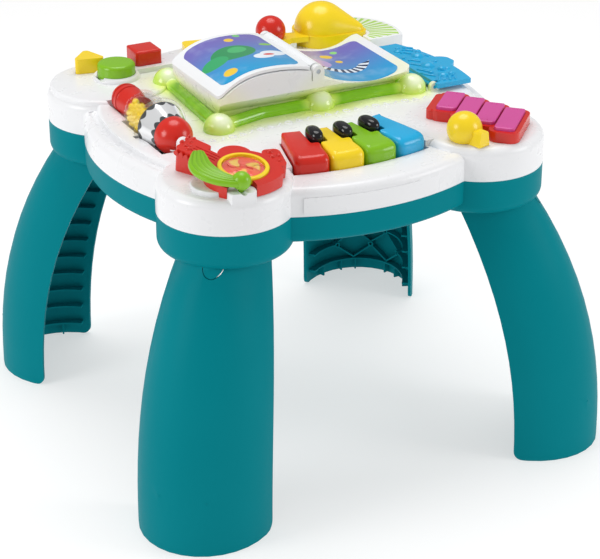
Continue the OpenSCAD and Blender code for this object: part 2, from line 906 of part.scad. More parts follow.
module leg(turn) {
  color(teal) rotate([0, 0, turn]) difference() {
    union() {
      leg_skin();
      for (z = [low_rib_z, each [low_rib_z + 3 * rib_pitch:rib_pitch:collar_z - 12]])
        leg_rib(z);
      leg_lattice();
    }
    tongue_slot();
    foot_corners();
  }
}

module leg_front_left() leg(225);
module leg_front_right() leg(315);
module leg_back_left() leg(135);
module leg_back_right() leg(45);

// ---------------------------------------------------------------- book

// The left bed follows the leaf's under side, the right bed follows the leaf turned over
module book_profile() {
  left = leaf_line(leaf_root, leaf_w, leaf_t + leaf_gap);
  right = turned_line(leaf_line(leaf_root + 4, bed_rim_x, -leaf_gap), bed_turn);
  low = -book_axis_rise;
  polygon(concat([[0, low], [-leaf_w + side_draw, low], [-leaf_w + side_draw, low + foot_h],
          [-leaf_w, low + flare_h]], reversed(left),
          [[-leaf_root, -leaf_barrel_r - 2], [leaf_root, -leaf_barrel_r - 2]],
          right, [[leaf_w, low + flare_h], [leaf_w - side_draw, low + foot_h],
              [leaf_w - side_draw, low]]));
}
side_draw = 8;
back_draw = 7;
foot_h = 10;
flare_h = 27;

// The book seen from its side: a foot that flares to the page's depth
module book_side(w, grow) {
  low = -book_axis_rise - overshoot;
  d = book_d / 2 + grow;
  translate([book_x, book_y, book_axis_z]) rotate([90, 0, 90]) linear_extrude(w, center = true)
    polygon([[-d + foot_draw, low], [d - back_draw, low], [d - back_draw, low + foot_h],
         [d, low + flare_h], [d, leaf_w], [-d, leaf_w], [-d, low + flare_h],
         [-d + foot_draw, low + foot_h]]);
}

module book_solid() {
  intersection() {
    along_book(book_d) book_profile();
    book_side(3 * leaf_w, 0);
    translate([0, 0, table_h]) linear_extrude(2 * book_axis_rise) book_plan();
  }
}

module book_base() {
  lamp_room = book_axis_rise - 26;
  foot_w = 2 * (leaf_w - side_draw - book_wall);
  foot_d = book_d - foot_draw - back_draw - 2 * book_wall;
  color(white) difference() {
    union() {
      book_solid();
      for (s = [-1, 1])
        translate([book_x, book_y + s * (book_d / 2 - lug_t / 2), book_axis_z])
          rotate([90, 0, 0]) {
            cylinder(r = leaf_barrel_r - 0.5, h = lug_t, center = true);
            translate([0, -leaf_barrel_r, 0])
              cube([2 * leaf_barrel_r - 1, 2 * leaf_barrel_r, lug_t], center = true);
          }
    }
    translate([book_x, book_y, book_axis_z]) rotate([90, 0, 0])
      cylinder(d = leaf_pin_d + 2 * bearing_gap, h = book_d + 2, center = true);
    translate([book_x, book_y + (foot_draw - back_draw) / 2, table_h - overshoot])
      linear_extrude(lamp_room + overshoot) round_rect(foot_w, foot_d, book_corner_r);
  }
}

module page_leaf() {
  barrel_len = leaf_d - 2 * lug_t;
  profile = concat(leaf_line(leaf_root - 3, leaf_w, 0),
           reversed(leaf_line(leaf_root - 3, leaf_w, leaf_t)));
  color(white) difference() {
    union() {
      intersection() {
        along_book(leaf_d) polygon(profile);
        translate([0, 0, table_h]) linear_extrude(3 * book_axis_rise) leaf_plan();
      }
      along_book(barrel_len) circle(leaf_barrel_r);
    }
    along_book(barrel_len + 2) circle(d = leaf_pin_d + 2 * bearing_gap);
  }
}

// The leaf seen from above: rounded outer corners, and cut back at the hinge lugs
module leaf_plan() {
  difference() {
    translate([book_x - leaf_w / 2, book_y]) round_rect(leaf_w, leaf_d, 6);
    for (s = [-1, 1])
      translate([book_x, book_y + s * (leaf_d / 2)])
        square([2 * (leaf_root + 1), 2 * lug_t + 2], center = true);
  }
}

// A printed sheet on the leaf or a bed: a thin band that follows the page
module print_plan(side) {
  translate([book_x + side * (leaf_w / 2 + 3), book_y]) round_rect(leaf_w - 24, leaf_d - 14, 10);
}

module sheet_on(from, to, drop, turn = 0) {
  line = turned_line(leaf_line(from, to, drop), turn);
  raised = turned_line(leaf_line(from, to, drop - label_t * (turn > 0 ? -1 : 1)), turn);
  along_book(leaf_d) polygon(concat(line, reversed(raised)));
}

module cut_print(side) {
  intersection() {
    children();
    translate([0, 0, table_h]) linear_extrude(3 * book_axis_rise) print_plan(side);
  }
}

module leaf_label_front() color(blue) cut_print(-1) sheet_on(leaf_root - 3, leaf_w, 0);
module leaf_label_back() color(blue) cut_print(-1)
  sheet_on(leaf_root - 3, leaf_w, leaf_t + label_t);
module bed_label_left() color(blue) cut_print(-1)
  sheet_on(leaf_root, leaf_w, leaf_t + leaf_gap);
module bed_label_right() color(blue) cut_print(1)
  sheet_on(leaf_root + 4, bed_rim_x, -leaf_gap, bed_turn);

module page_pins() {
  color(steel) translate([book_x, book_y, book_axis_z]) rotate([90, 0, 0])
    cylinder(d = leaf_pin_d, h = book_d - 1, center = true);
}

// Light tube round the foot of the book, with a lamp dome at each corner and in front
foot_front = book_y - book_d / 2 + foot_draw;
tube_z = table_h + 3;
lamp_places = [[-95, -33], [24, -20], [132, -21], [128, 100], [-86, 112]];
tube_path = [lamp_places[0], [-42, foot_front - 7], lamp_places[1], [86, foot_front - 6],
       lamp_places[2], [book_x + leaf_w - side_draw + 5, 40], lamp_places[3],
       [book_x, book_y + book_d / 2 - back_draw + 5], lamp_places[4],
       [book_x - leaf_w + side_draw - 5, 42]];

module light_tube() {
  count = len(tube_path);
  color(lime) difference() {
    union() {
      for (k = [0:count - 1]) let (a = tube_path[k], b = tube_path[(k + 1) % count]) {
        translate([a[0], a[1], tube_z])
          rotate([0, 90, atan2(b[1] - a[1], b[0] - a[0])])
            cylinder(r = tube_r, h = norm(b - a));
        translate([a[0], a[1], tube_z]) sphere(tube_r + 0.2);
      }
      for (p = lamp_places) translate([p[0], p[1], table_h + 1]) sphere(lamp_r);
    }
    book_side(2 * (leaf_w - side_draw + seat_gap), seat_gap);
    translate([0, 0, table_h - lobe_r]) cube([2 * lobe_pitch, 2 * lobe_pitch, 2 * lobe_r], center = true);
    translate([-lobe_at, lobe_at, table_h - 1])
      cylinder(r = triangle_pad_r + seat_gap, h = triangle_pad_z - table_h + 1);
  }
}

// ---------------------------------------------------------------- buttons

// A press button of any plan: a hollow cap, a flange under the shell and a stem
module press_button(z, h) {
  under = z - wall - seat_gap;
  difference() {
    union() {
      translate([0, 0, under - flange_t]) linear_extrude(z + h - under + flange_t)
        children(0);
      translate([0, 0, under - flange_t]) linear_extrude(flange_t) children(1);
    }
    translate([0, 0, under - flange_t - overshoot])
      linear_extrude(z + h - wall - under + flange_t + overshoot) children(2);
  }
  translate([0, 0, dome_top_z + press_travel + seat_gap])
    cylinder(r = stem_r, h = z + h - wall / 2 - dome_top_z - press_travel - seat_gap);
}

module circle_button() {
  color(green) at_table(circle_at) intersection() {
    press_button(pad_z, round_button_h) {
      circle_plan();
      circle_plan(flange_w);
      circle_plan(-wall);
    }
    round_crown(round_button_d / 2, pad_z + round_button_h, 4);
  }
}

// A tall form that rounds off a button's top edge and leaves its flange whole
module round_crown(r, top_z, round) {
  union() {
    translate([0, 0, part_z - 10]) round_block(r, top_z - part_z + 10, round);
    translate([0, 0, part_z - 10]) cylinder(r = r + 2 * flange_w, h = pad_z - part_z);
  }
}

module triangle_button() {
  color(yellow) at_table(triangle_at, triangle_turn)
    press_button(triangle_pad_z, tall_button_h) {
      triangle_plan(triangle_button_r);
      intersection() {
        triangle_plan(triangle_button_r, flange_w);
        rotate(-triangle_turn)
          translate([-lobe_at - triangle_at[0], lobe_at - triangle_at[1]])
            circle(triangle_pad_r - wall - flange_gap);
      }
      triangle_plan(triangle_button_r, -wall);
    }
}

module square_button() {
  color(red) at_table(square_at) intersection() {
    press_button(pad_z, tall_button_h) {
      square_plan();
      square_plan(flange_w);
      square_plan(-wall);
    }
    union() {
      translate([0, 0, part_z - 10])
        crowned_block(square_button_w, square_button_w,
               pad_z + tall_button_h - part_z + 10, 4, 4);
      translate([-lobe_r / 2, -lobe_r / 2, part_z - 10])
        cube([lobe_r, lobe_r, pad_z - part_z]);
    }
  }
}

// ---------------------------------------------------------------- keys

module key_profile() {
  difference() {
    polygon([[keys_back_r, key_low_z], [keys_back_r, key_back_z - 3],
         [keys_back_r + 3, key_back_z], [keys_front_r, key_front_z],
         [keys_front_r, key_low_z]]);
    translate([keys_front_r - key_front_round, key_front_z - key_front_round])
      corner_waste(key_front_round);
  }
}

module key_hollow_profile() {
  polygon([[keys_back_r + key_wall, key_low_z - overshoot],
       [keys_back_r + key_wall, key_back_z - 3 - key_wall],
       [keys_front_r - key_front_round, key_front_z - key_wall],
       [keys_front_r - key_wall - 1, key_front_z - key_front_round],
       [keys_front_r - key_wall - 1, key_low_z - overshoot]]);
}

// Room that the black keys take out of the coloured ones, open at the back and below
module black_room(grow) {
  front = black_at_r + black_key_len / 2 + black_gap + grow;
  back = keys_back_r - 2 * (notch_corner_r + key_wall);
  for (turn = black_turns)
    at_key(turn) translate([0, -(front + back) / 2, part_z]) linear_extrude(lobe_r)
      round_rect(black_key_w + 2 * (black_gap + grow), front - back, notch_corner_r + grow);
}

// What is cut from a key to round its long upper edges and its front corners
module key_edges(turn, half_angle) {
  slope = atan((key_back_z - key_front_z) / key_len);
  at_key(turn) for (s = [0, 1]) mirror([s, 0, 0]) rotate([0, 0, half_angle]) {
    translate([-key_edge_round, -keys_back_r, key_back_z - key_edge_round])
      rotate([90 + slope, 0, 0]) linear_extrude(2 * key_len, center = true)
        corner_waste(key_edge_round);
    translate([-key_corner_r, -keys_front_r + key_corner_r, part_z])
      linear_extrude(lobe_r) mirror([0, 1]) corner_waste(key_corner_r);
  }
}
key_corner_r = 7;

module coloured_key(i) {
  turn = key_turns[i];
  gap_angle = key_gap / black_at_r * 57.3;
  wall_angle = 2 * key_wall / black_at_r * 57.3;
  rod_low = dome_top_z + (plunger_r - hinge_r) * sin(key_swing) + seat_gap;
  difference() {
    union() {
      difference() {
        fan_sector(turn, key_angle - gap_angle) key_profile();
        difference() {
          fan_sector(turn, key_angle - gap_angle - wall_angle) key_hollow_profile();
          black_room(key_wall);
        }
      }
      at_key(turn) translate([0, -hinge_r, hinge_z]) rotate([0, 90, 0])
        cylinder(r = hinge_pin_r, h = (key_angle - gap_angle) * hinge_r / 57.3 - key_wall,
             center = true);
    }
    key_edges(turn, (key_angle - gap_angle) / 2);
    black_room(0);
  }
  at_key(turn) translate([0, -plunger_r, rod_low])
    cylinder(r = plunger_rod_r, h = key_front_z - key_wall / 2 - rod_low);
}

module red_key() color(red) coloured_key(0);
module yellow_key() color(yellow) coloured_key(1);
module green_key() color(green) coloured_key(2);
module blue_key() color(blue) coloured_key(3);

module black_key(i) {
  stem_low = dome_top_z + press_travel + seat_gap;
  clip_z = well_floor_z - wall - guide_h - seat_gap - flange_t;
  color(dark) at_key(black_turns[i]) translate([0, -black_at_r, 0]) {
    translate([0, 0, black_low_z])
      crowned_block(black_key_w, black_key_len, black_h, 7, 7);
    translate([0, 0, stem_low]) cylinder(r = stem_r, h = black_low_z + 1 - stem_low);
    translate([0, 0, clip_z]) cylinder(r = stem_r + 1.2, h = flange_t);
  }
}

module black_key_left() black_key(0);
module black_key_middle() black_key(1);
module black_key_right() black_key(2);

// ---------------------------------------------------------------- rattle

module along_rattle(y) {
  translate([rattle_x, y, rattle_z]) rotate([-90, 0, 0]) children();
}
axle_hole = rattle_axle_d / 2 + bearing_gap;
barrel_near_y = rattle_ring_y + rattle_ring_t / 2;
mirror_near_y = -42;

module rattle_barrel() {
  len = barrel_far_y - barrel_near_y;
  color(clear) along_rattle(barrel_near_y) difference() {
    cylinder(r = rattle_barrel_r, h = len);
    translate([0, 0, 2]) cylinder(r = rattle_barrel_r - 2, h = len - 4);
    translate([0, 0, -overshoot]) cylinder(r = axle_hole, h = len + 2 * overshoot);
  }
}

module rattle_ring() {
  color(clear) along_rattle(rattle_ring_y - rattle_ring_t / 2) difference() {
    round_block(rattle_ring_r, rattle_ring_t, 2.5, 2.5);
    translate([0, 0, -overshoot]) cylinder(r = axle_hole, h = rattle_ring_t + 2 * overshoot);
  }
}

module rattle_mirror() {
  len = rattle_ring_y - rattle_ring_t / 2 - mirror_near_y;
  color(steel) along_rattle(mirror_near_y) difference() {
    cylinder(r1 = front_cap_r - 0.5, r2 = mirror_far_r, h = len);
    translate([0, 0, -overshoot]) cylinder(r = axle_hole, h = len + 2 * overshoot);
  }
}

// Egg-shaped red end, its round side towards -Y
module rattle_front_cap() {
  len = mirror_near_y - rattle_near_y;
  color(red) along_rattle(mirror_near_y) rotate([180, 0, 0]) rotate_extrude()
    difference() {
      union() {
        square([front_cap_r, len - front_cap_r]);
        translate([0, len - front_cap_r]) intersection() {
          circle(front_cap_r);
          square(front_cap_r);
        }
      }
      translate([0, -overshoot]) square([axle_hole, len + 2 * overshoot]);
    }
}

// Red grip with a waist, a domed end and two grooves round it
module rattle_back_cap() {
  len = rattle_far_y - barrel_far_y;
  dome_y = len - back_cap_r;
  color(red) along_rattle(barrel_far_y) rotate_extrude() difference() {
    union() {
      polygon([[0, 0], [14, 0], [13, 5], [back_cap_r - 3, 9], [back_cap_r, dome_y - 8],
           [back_cap_r, dome_y], [0, dome_y]]);
      translate([0, dome_y]) intersection() {
        circle(back_cap_r);
        square(back_cap_r);
      }
    }
    for (y = [dome_y - 8, dome_y]) translate([back_cap_r, y]) circle(1.6);
    translate([0, -overshoot]) square([axle_hole, len + 2 * overshoot]);
  }
}

// Beads loose in the barrel, drawn where they lie at rest
bead_r = 3;
bead_ring_r = rattle_barrel_r - 2 - bead_r - 0.2;
module rattle_beads() {
  color(yellow) for (row = [0:2], k = [-3:3])
    along_rattle(barrel_near_y + 2 + 7 + row * 9)
      rotate([0, 0, 90 + k * 22 + 11 * (row % 2)])
        translate([bead_ring_r, 0, 0]) sphere(bead_r, $fn = 24);
}

module rattle_axle() {
  len = rattle_far_y - rattle_near_y + 2 * (rattle_gap + bearing_t) - 2;
  color(steel) along_rattle(rattle_near_y - rattle_gap - bearing_t + 1)
    cylinder(d = rattle_axle_d, h = len);
}

// ---------------------------------------------------------------- guitar

neck_w = 16;
neck_shift = 5;
head_from = 44;
head_len = 26;
head_w = 26;
peg_r = 2.6;
peg_drop = 4;

// The guitar seen from above its face
module guitar_plan() {
  translate([-2, -5]) circle(guitar_r);
  translate([3, 24]) circle(guitar_r * 0.45);
  translate([35, 6]) rotate(-10) round_rect(18, 32, 6);
  rotate(guitar_turn) {
    translate([-neck_w / 2 - neck_shift, 0]) square([neck_w, head_from + 2]);
    translate([2 - neck_shift, head_from + head_len / 2]) round_rect(head_w, head_len, 5);
  }
}

// Strings run down the neck as shallow grooves between raised lines
module string_grooves() {
  for (k = [-1:1])
    rotate([0, 0, guitar_turn]) translate([k * 4 - neck_shift - 0.6, spinner_ring_r + 2, -0.8])
      cube([1.2, head_from - spinner_ring_r + 10, 2]);
}

module guitar_body() {
  color(red) difference() {
    intersection() {
      on_guitar() union() {
        translate([0, 0, -lobe_r]) linear_extrude(lobe_r) guitar_plan();
        for (k = [0:3]) rotate([0, 0, guitar_turn])
          translate([2 - neck_shift - head_w / 2, head_from + 4 + k * 6, -peg_drop])
            rotate([0, 90, 0]) cylinder(r = peg_r, h = 5, center = true);
      }
      translate([-lobe_at, -lobe_at, table_h])
        cylinder(r = lobe_r - 5, h = 4 * guitar_t);
    }
    on_guitar() {
      translate([0, 0, -spinner_recess])
        cylinder(r = spinner_ring_r + seat_gap, h = 2 * spinner_recess);
      translate([0, 0, -lobe_r]) cylinder(r = spindle_r + bearing_gap, h = 2 * lobe_r);
      string_grooves();
    }
    at_table(strum_at) translate([0, 0, table_h - overshoot])
      cylinder(r = strum_boss_r + seat_gap, h = 4 * guitar_t);
    at_table(platform_at) translate([0, 0, table_h - overshoot])
      cylinder(r = platform_r + seat_gap, h = platform_z - table_h + overshoot);
  }
}

spindle_r = 3;
disc_t = 3.2;
ring_w = 4;

module spinner_ring() {
  color(yellow) on_guitar() translate([0, 0, -spinner_recess]) difference() {
    round_block(spinner_ring_r, spinner_recess + 2, 1.5);
    translate([0, 0, -overshoot]) cylinder(r = spinner_ring_r - ring_w, h = spinner_recess + 4);
  }
}

// The spinning disc: a flat dome with three raised swirls, on a spindle
module spinner_disc() {
  disc_r = spinner_ring_r - ring_w - slide_gap;
  disc_z = seat_gap - spinner_recess;
  spindle_len = guitar_t - spinner_recess - overshoot;
  color(red) on_guitar() {
    translate([0, 0, disc_z]) round_block(disc_r, disc_t, 1);
    translate([0, 0, disc_z - spindle_len]) cylinder(r = spindle_r, h = spindle_len + 1);
    for (a = [0:120:240]) rotate([0, 0, a])
      translate([0, 0, disc_z + disc_t - 0.2]) linear_extrude(1) difference() {
        translate([disc_r * 0.52, 0]) circle(disc_r * 0.34);
        translate([disc_r * 0.62, -disc_r * 0.3]) circle(disc_r * 0.26);
      }
  }
}

// Green strum lever: a leaf-shaped blade that swings about the ball
blade_neck = [-6, -1];
blade_low = [-18, 12];
blade_wide = [-25, 30];
blade_tip = [-16, 58];
blade_wide_r = 12;
blade_low_r = 9.5;
blade_neck_r = 7;
blade_tip_r = 5.5;

module blade_plan() {
  hull() {
    translate(blade_tip) circle(blade_tip_r, $fn = 32);
    translate(blade_wide) circle(blade_wide_r, $fn = 32);
  }
  hull() {
    translate(blade_wide) circle(blade_wide_r, $fn = 32);
    translate(blade_low) circle(blade_low_r, $fn = 32);
  }
  hull() {
    translate(blade_low) circle(blade_low_r, $fn = 32);
    translate(blade_neck) circle(blade_neck_r, $fn = 32);
  }
}

module strum_lever() {
  ball_lift = 5;
  stem_len = 24;
  color(green) on_guitar() translate([strum_offset[0], strum_offset[1], 0]) {
    translate([0, 0, ball_lift]) sphere(strum_ball_r);
    translate([0, 0, strum_lift]) linear_extrude(strum_blade_t) blade_plan();
    translate([0, 0, ball_lift - stem_len]) cylinder(r = strum_stem_r, h = stem_len);
  }
}

// ---------------------------------------------------------------- xylophone

function bar_x(i) = (i - 1.5) * bar_pitch;
function bar_length(i) = bar_len + bar_step * i;
function bar_stem_y(i) = bar_length(i) / 2 - 9;
bar_w = bar_pitch - bar_gap;
bar_low_z = table_h + xylo_base_h - bar_recess + bar_travel + seat_gap;
bar_peg_r = stem_r - 1;

// Places children at a bar; each bar also shifts along its length
module at_bar(i) {
  at_table(xylo_at, xylo_turn) translate([bar_x(i), -(i - 1.5) * xylo_shift, 0]) children();
}

module bar_plan(i, grow) {
  round_rect(bar_w + 2 * grow, bar_length(i) + 2 * grow, 5 + grow);
}

// A red tray that steps along with the bars
module xylophone_base() {
  color(red) difference() {
    intersection() {
      union() {
        for (i = [0:3]) at_bar(i) translate([0, 0, table_h])
          linear_extrude(xylo_base_h) bar_plan(i, xylo_rim);
        at_bar(0) translate([-bar_w / 2 - 3, 0, table_h])
          linear_extrude(xylo_base_h - 1.5) round_rect(14, bar_length(0) + 4, 6);
      }
      union() {
        translate([lobe_at, -lobe_at, table_h - overshoot])
          cylinder(r = lobe_r - 3, h = 2 * xylo_base_h);
        translate([0, -lobe_at, table_h - overshoot]) cube([lobe_r * 3, lobe_r * 2, 2 * xylo_base_h]);
      }
    }
    for (i = [0:3]) at_bar(i) {
      translate([0, 0, table_h + xylo_base_h - bar_recess]) linear_extrude(lobe_r)
        bar_plan(i, slide_gap);
      for (s = [-1, 1]) translate([0, s * bar_stem_y(i), table_h - 1])
        cylinder(r = bar_peg_r + bearing_gap, h = xylo_base_h + 2);
    }
    at_table(mallet_at, mallet_turn) translate([-mallet_travel, 0, table_h - 1])
      linear_extrude(lobe_r) slot_plan(mallet_travel, 2 * mallet_ball_r + 1);
  }
}

module chime_bar(i) {
  stem_low = dome_top_z + bar_travel + seat_gap;
  color(magenta) at_bar(i) {
    translate([0, 0, bar_low_z]) crowned_block(bar_w, bar_length(i), bar_t, 5, 1.8);
    for (s = [-1, 1]) translate([0, s * bar_stem_y(i), 0]) {
      translate([0, 0, stem_low]) cylinder(r = bar_peg_r, h = bar_low_z + 1 - stem_low);
      for (x = [-1, 1]) translate([x * 2.4, s * 4, bar_low_z + bar_t - 0.3])
        sphere(1, $fn = 24);
    }
  }
}

module chime_bar_1() chime_bar(0);
module chime_bar_2() chime_bar(1);
module chime_bar_3() chime_bar(2);
module chime_bar_4() chime_bar(3);

// Yellow ball with a short tapered neck, on a runner in its slot
module mallet_slider() {
  low = table_h + seat_gap;
  color(yellow) {
    at_table(mallet_at) translate([0, 0, low]) {
      intersection() {
        translate([0, 0, mallet_lift]) sphere(mallet_ball_r);
        cylinder(r = mallet_ball_r + 1, h = 2 * mallet_ball_r + mallet_lift);
      }
      rotate([0, 0, -75]) translate([mallet_ball_r - 6, 0, 0])
        rotate([90, 0, 90]) linear_extrude(mallet_neck - mallet_ball_r + 6)
          polygon([[-7, 0], [7, 0], [5.5, mallet_neck_h - 2], [4, mallet_neck_h],
               [-4, mallet_neck_h], [-5.5, mallet_neck_h - 2]]);
    }
    at_table(mallet_at, mallet_turn) {
      translate([0, 0, table_h - wall - seat_gap - 2])
        cylinder(d = mallet_stem_w, h = wall + 4);
      translate([-6, -6, table_h - wall - seat_gap - flange_t])
        cube([12, 12, flange_t]);
    }
  }
}

// ---------------------------------------------------------------- horn

module track_plan(grow = 0) {
  at_table(track_at, track_turn) round_rect(track_len + 2 * grow, track_w + 2 * grow, 6 + grow);
}

// The horn lies on its side: a ball and a smaller end, joined by the cone that touches both
horn_lean = asin((horn_ball_r - horn_end_r) / horn_end_at);
horn_steps = 14;
function arc_line(r, at, from, to) =
  [for (k = [0:horn_steps]) let (a = from + (to - from) * k / horn_steps)
    [r * sin(a), at + r * cos(a)]];

module horn_form() {
  rotate([0, 90, 0]) rotate_extrude()
    polygon(concat(arc_line(horn_ball_r, 0, 180, 90 - horn_lean),
            arc_line(horn_end_r, horn_end_at, 90 - horn_lean, 0)));
}

module horn_plan(grow) {
  at_table(horn_at, horn_turn) hull() {
    circle(horn_ball_r + grow);
    translate([horn_end_at, 0]) circle(horn_end_r + grow);
  }
}

// Yellow track plate and the horn at its right end, one piece
module horn_track() {
  top_z = pad_z + track_t;
  color(yellow) difference() {
    union() {
      translate([0, 0, pad_z]) linear_extrude(track_t) {
        track_plan();
        at_table(track_at, track_turn) translate([track_len / 2 - 6, 3 - track_w / 2])
          square([track_w, track_w - 6]);
      }
      translate([0, 0, table_h]) linear_extrude(top_z - table_h) horn_plan(horn_lip);
      intersection() {
        translate([horn_at[0], horn_at[1], top_z + horn_h - horn_ball_r])
          rotate([0, 0, horn_turn]) horn_form();
        translate([horn_at[0], horn_at[1], top_z - 1]) cylinder(r = 3 * horn_ball_r, h = 2 * horn_ball_r);
      }
    }
    translate([back_pad_x[0], back_pad_y - seat_gap, table_h - 1])
      cube([back_pad_x[1] - back_pad_x[0] + seat_gap, side_reach, pad_rise + 1]);
    at_table(track_at, track_turn)
      translate([knob_start - knob_travel, 0, pad_z - 1]) linear_extrude(track_t + 2)
        slot_plan(knob_travel, track_slot_w);
    at_table(track_at, track_turn) translate([knob_start - knob_travel, 0, top_z])
      linear_extrude(lobe_r) slot_plan(knob_travel, 2 * knob_r + 1);
  }
}

// Red knob with a stem in the track's slot
module horn_knob() {
  low = pad_z + track_t + seat_gap;
  color(red) at_table(track_at, track_turn) translate([knob_start, 0, 0]) {
    intersection() {
      translate([0, 0, low + knob_r * 0.45]) sphere(knob_r);
      translate([0, 0, low]) cylinder(r = knob_r + 1, h = 2 * knob_r);
    }
    translate([0, 0, pad_z - wall - seat_gap - flange_t])
      cylinder(d = track_slot_w - 2 * slide_gap, h = low + 2 - pad_z + wall + flange_t);
    translate([0, 0, pad_z - wall - seat_gap - flange_t])
      cylinder(r = track_slot_w / 2 + 2.5, h = flange_t);
  }
}

// ---------------------------------------------------------------- plates

plate_edge_x = 152;
plate_y = [-42, 90];
plate_tab_at = [191, 19];
plate_tab_r = 15;
ear_w = 5;
ear_y = [plate_y[0] + 6, plate_y[1] - 6 - ear_w];
plate_axis_z = plate_z + plate_lift;

module plate_plan() {
  difference() {
    intersection() {
      translate([plate_edge_x, plate_y[0]]) square([lobe_r, plate_y[1] - plate_y[0]]);
      translate([side_reach - side_arc_r, 0]) circle(side_arc_r - plateau_inset + 2);
    }
    for (y = ear_y) translate([plate_edge_x - 1, y - slide_gap])
      square([ear_w + slide_gap + 1, ear_w + 2 * slide_gap]);
  }
  intersection() {
    translate(plate_tab_at) circle(plate_tab_r);
    translate([side_reach - side_arc_r, 0]) circle(side_arc_r - 2);
  }
}

// The pin along the plate's inner edge, held by two ears of the shell
module plate_pin(r, extra) {
  translate([plate_edge_x, ear_y[0] - extra, plate_axis_z]) rotate([-90, 0, 0])
    cylinder(r = r, h = ear_y[1] - ear_y[0] + ear_w + 2 * extra);
}

module plate_ears() {
  for (y = ear_y) {
    translate([plate_edge_x - ear_w, y, table_h - overshoot])
      cube([2 * ear_w, ear_w, plate_axis_z - table_h + overshoot]);
    translate([plate_edge_x, y, plate_axis_z]) rotate([-90, 0, 0]) cylinder(r = ear_w, h = ear_w);
  }
}

// Blue pressing plate: hinged along its inner edge, with raised bubbles
module press_plate() {
  color(blue) {
    translate([0, 0, plate_axis_z]) linear_extrude(plate_t) plate_plan();
    plate_pin(plate_hinge_r, 0);
    intersection() {
      for (p = [[172, -20, 8], [178, 44, 9], [166, 66, 6], [172, 12, 10], [186, -4, 5]])
        translate([p[0], p[1], plate_axis_z + plate_t - p[2] * 0.6]) sphere(p[2]);
      translate([plate_edge_x, plate_y[0], plate_axis_z + 1]) cube([lobe_r, lobe_pitch, 4 * plate_t]);
    }
  }
}

module corner_plan(inset) {
  difference() {
    translate([lobe_at, lobe_at]) circle(corner_r - inset);
    horn_plan(horn_lip + seat_gap + inset);
    square([2 * (lobe_at + 18 + inset), 4 * lobe_at], center = true);
    square([4 * lobe_at, 2 * (lobe_at - 28 + inset)], center = true);
  }
}

// White raised corner; its skirt reaches down over the lobe's rounded shoulder
module corner_pad() {
  color(white) difference() {
    translate([0, 0, table_h - lobe_round]) linear_extrude(corner_pad_h + lobe_round)
      corner_plan(0);
    translate([lobe_at, lobe_at, part_z]) round_block(lobe_r, table_h - part_z, lobe_round);
    translate([side_half, side_half, part_z]) cylinder(r = lobe_r / 3, h = table_h - part_z);
  }
}

module corner_label() {
  color(lime) translate([0, 0, table_h + corner_pad_h]) linear_extrude(label_t) corner_plan(4);
}

// ---------------------------------------------------------------- inside

module power_switch() {
  color(dark) translate([switch_at[0] - switch_travel / 2, switch_at[1], 0]) {
    translate([-3.5, -switch_slot[1] / 2 + slide_gap, tray_z - 2])
      cube([7, switch_slot[1] - 2 * slide_gap, wall + 2 + seat_gap + 1]);
    translate([-9, -6, tray_floor_z + seat_gap]) cube([18, 12, 3]);
  }
}

module speaker() {
  color(dark) at_table(speaker_at) translate([0, 0, tray_floor_z]) {
    round_block(speaker_r, 5, 1);
    translate([0, 0, 5]) cylinder(r = 14, h = 9);
  }
}

module main_board() {
  color(board_green) translate([main_board_at[0], main_board_at[1], board_z])
    linear_extrude(board_t) round_rect(main_board_w, main_board_d, 4);
}

module button_board() {
  color(board_green) intersection() {
    translate([0, 0, board_z]) linear_extrude(board_t)
      at_table(button_board_at) round_rect(84, 50, 8);
    table_blank(wall + 2, board_z, board_z + board_t, 0, 0);
  }
}

module key_board() {
  span = key_count * key_angle - 2;
  color(board_green) fan_sector(fan_turn, span)
    translate([black_at_r - 12, board_z]) square([plunger_r - black_at_r + 22, board_t]);
}

module chime_board() {
  color(board_green) translate([0, 0, board_z]) linear_extrude(board_t)
    for (i = [0:3]) at_bar(i) square([bar_pitch + 1, bar_length(i) - 6], center = true);
}

module switch_domes() {
  color(dark) translate([0, 0, board_z + board_t]) {
    for (p = [circle_at, triangle_at, square_at])
      at_table(p) round_block(dome_r, dome_h, 1.5);
    for (turn = key_turns) at_key(turn) translate([0, -plunger_r, 0])
      round_block(dome_r, dome_h, 1.5);
    for (turn = black_turns) at_key(turn) translate([0, -black_at_r, 0])
      round_block(dome_r, dome_h, 1.5);
    for (i = [0:3], s = [-1, 1])
      at_bar(i) translate([0, s * bar_stem_y(i), 0]) round_block(dome_r, dome_h, 1.5);
  }
}

module batteries() {
  color(steel) for (k = [0:cell_count - 1])
    translate([case_at[0] - cell_len / 2,
          case_at[1] + (k - (cell_count - 1) / 2) * cell_pitch,
          tray_z + door_t + seat_gap + cell_d / 2])
      rotate([0, 90, 0]) cylinder(d = cell_d, h = cell_len);
}

module battery_contacts() {
  color(steel) for (s = [-1, 1], k = [0:cell_count - 1])
    translate([case_at[0] + s * (case_w / 2 + cell_len / 2) / 2,
          case_at[1] + (k - (cell_count - 1) / 2) * cell_pitch,
          tray_z + door_t + seat_gap + cell_d / 2])
      cube([case_w / 2 - cell_len / 2 - 0.02, 10, 10], center = true);
}

module battery_door() {
  color(teal) translate([0, 0, tray_z]) difference() {
    linear_extrude(door_t) door_plan(seat_gap);
    translate([door_screw_at[0], door_screw_at[1], -overshoot]) cylinder(r = 1.6, h = 2 * door_t);
    for (k = [-2:2])
      translate([case_at[0] + k * 5 - 1, case_at[1] - case_d / 2 + 4, -overshoot])
        cube([2, 12, overshoot + 0.8]);
  }
}

module door_screw() {
  color(steel) translate([door_screw_at[0], door_screw_at[1], tray_z - 1.2]) {
    round_block(3, 1.2, 0, 0.5);
    cylinder(r = 1.3, h = 10);
  }
}

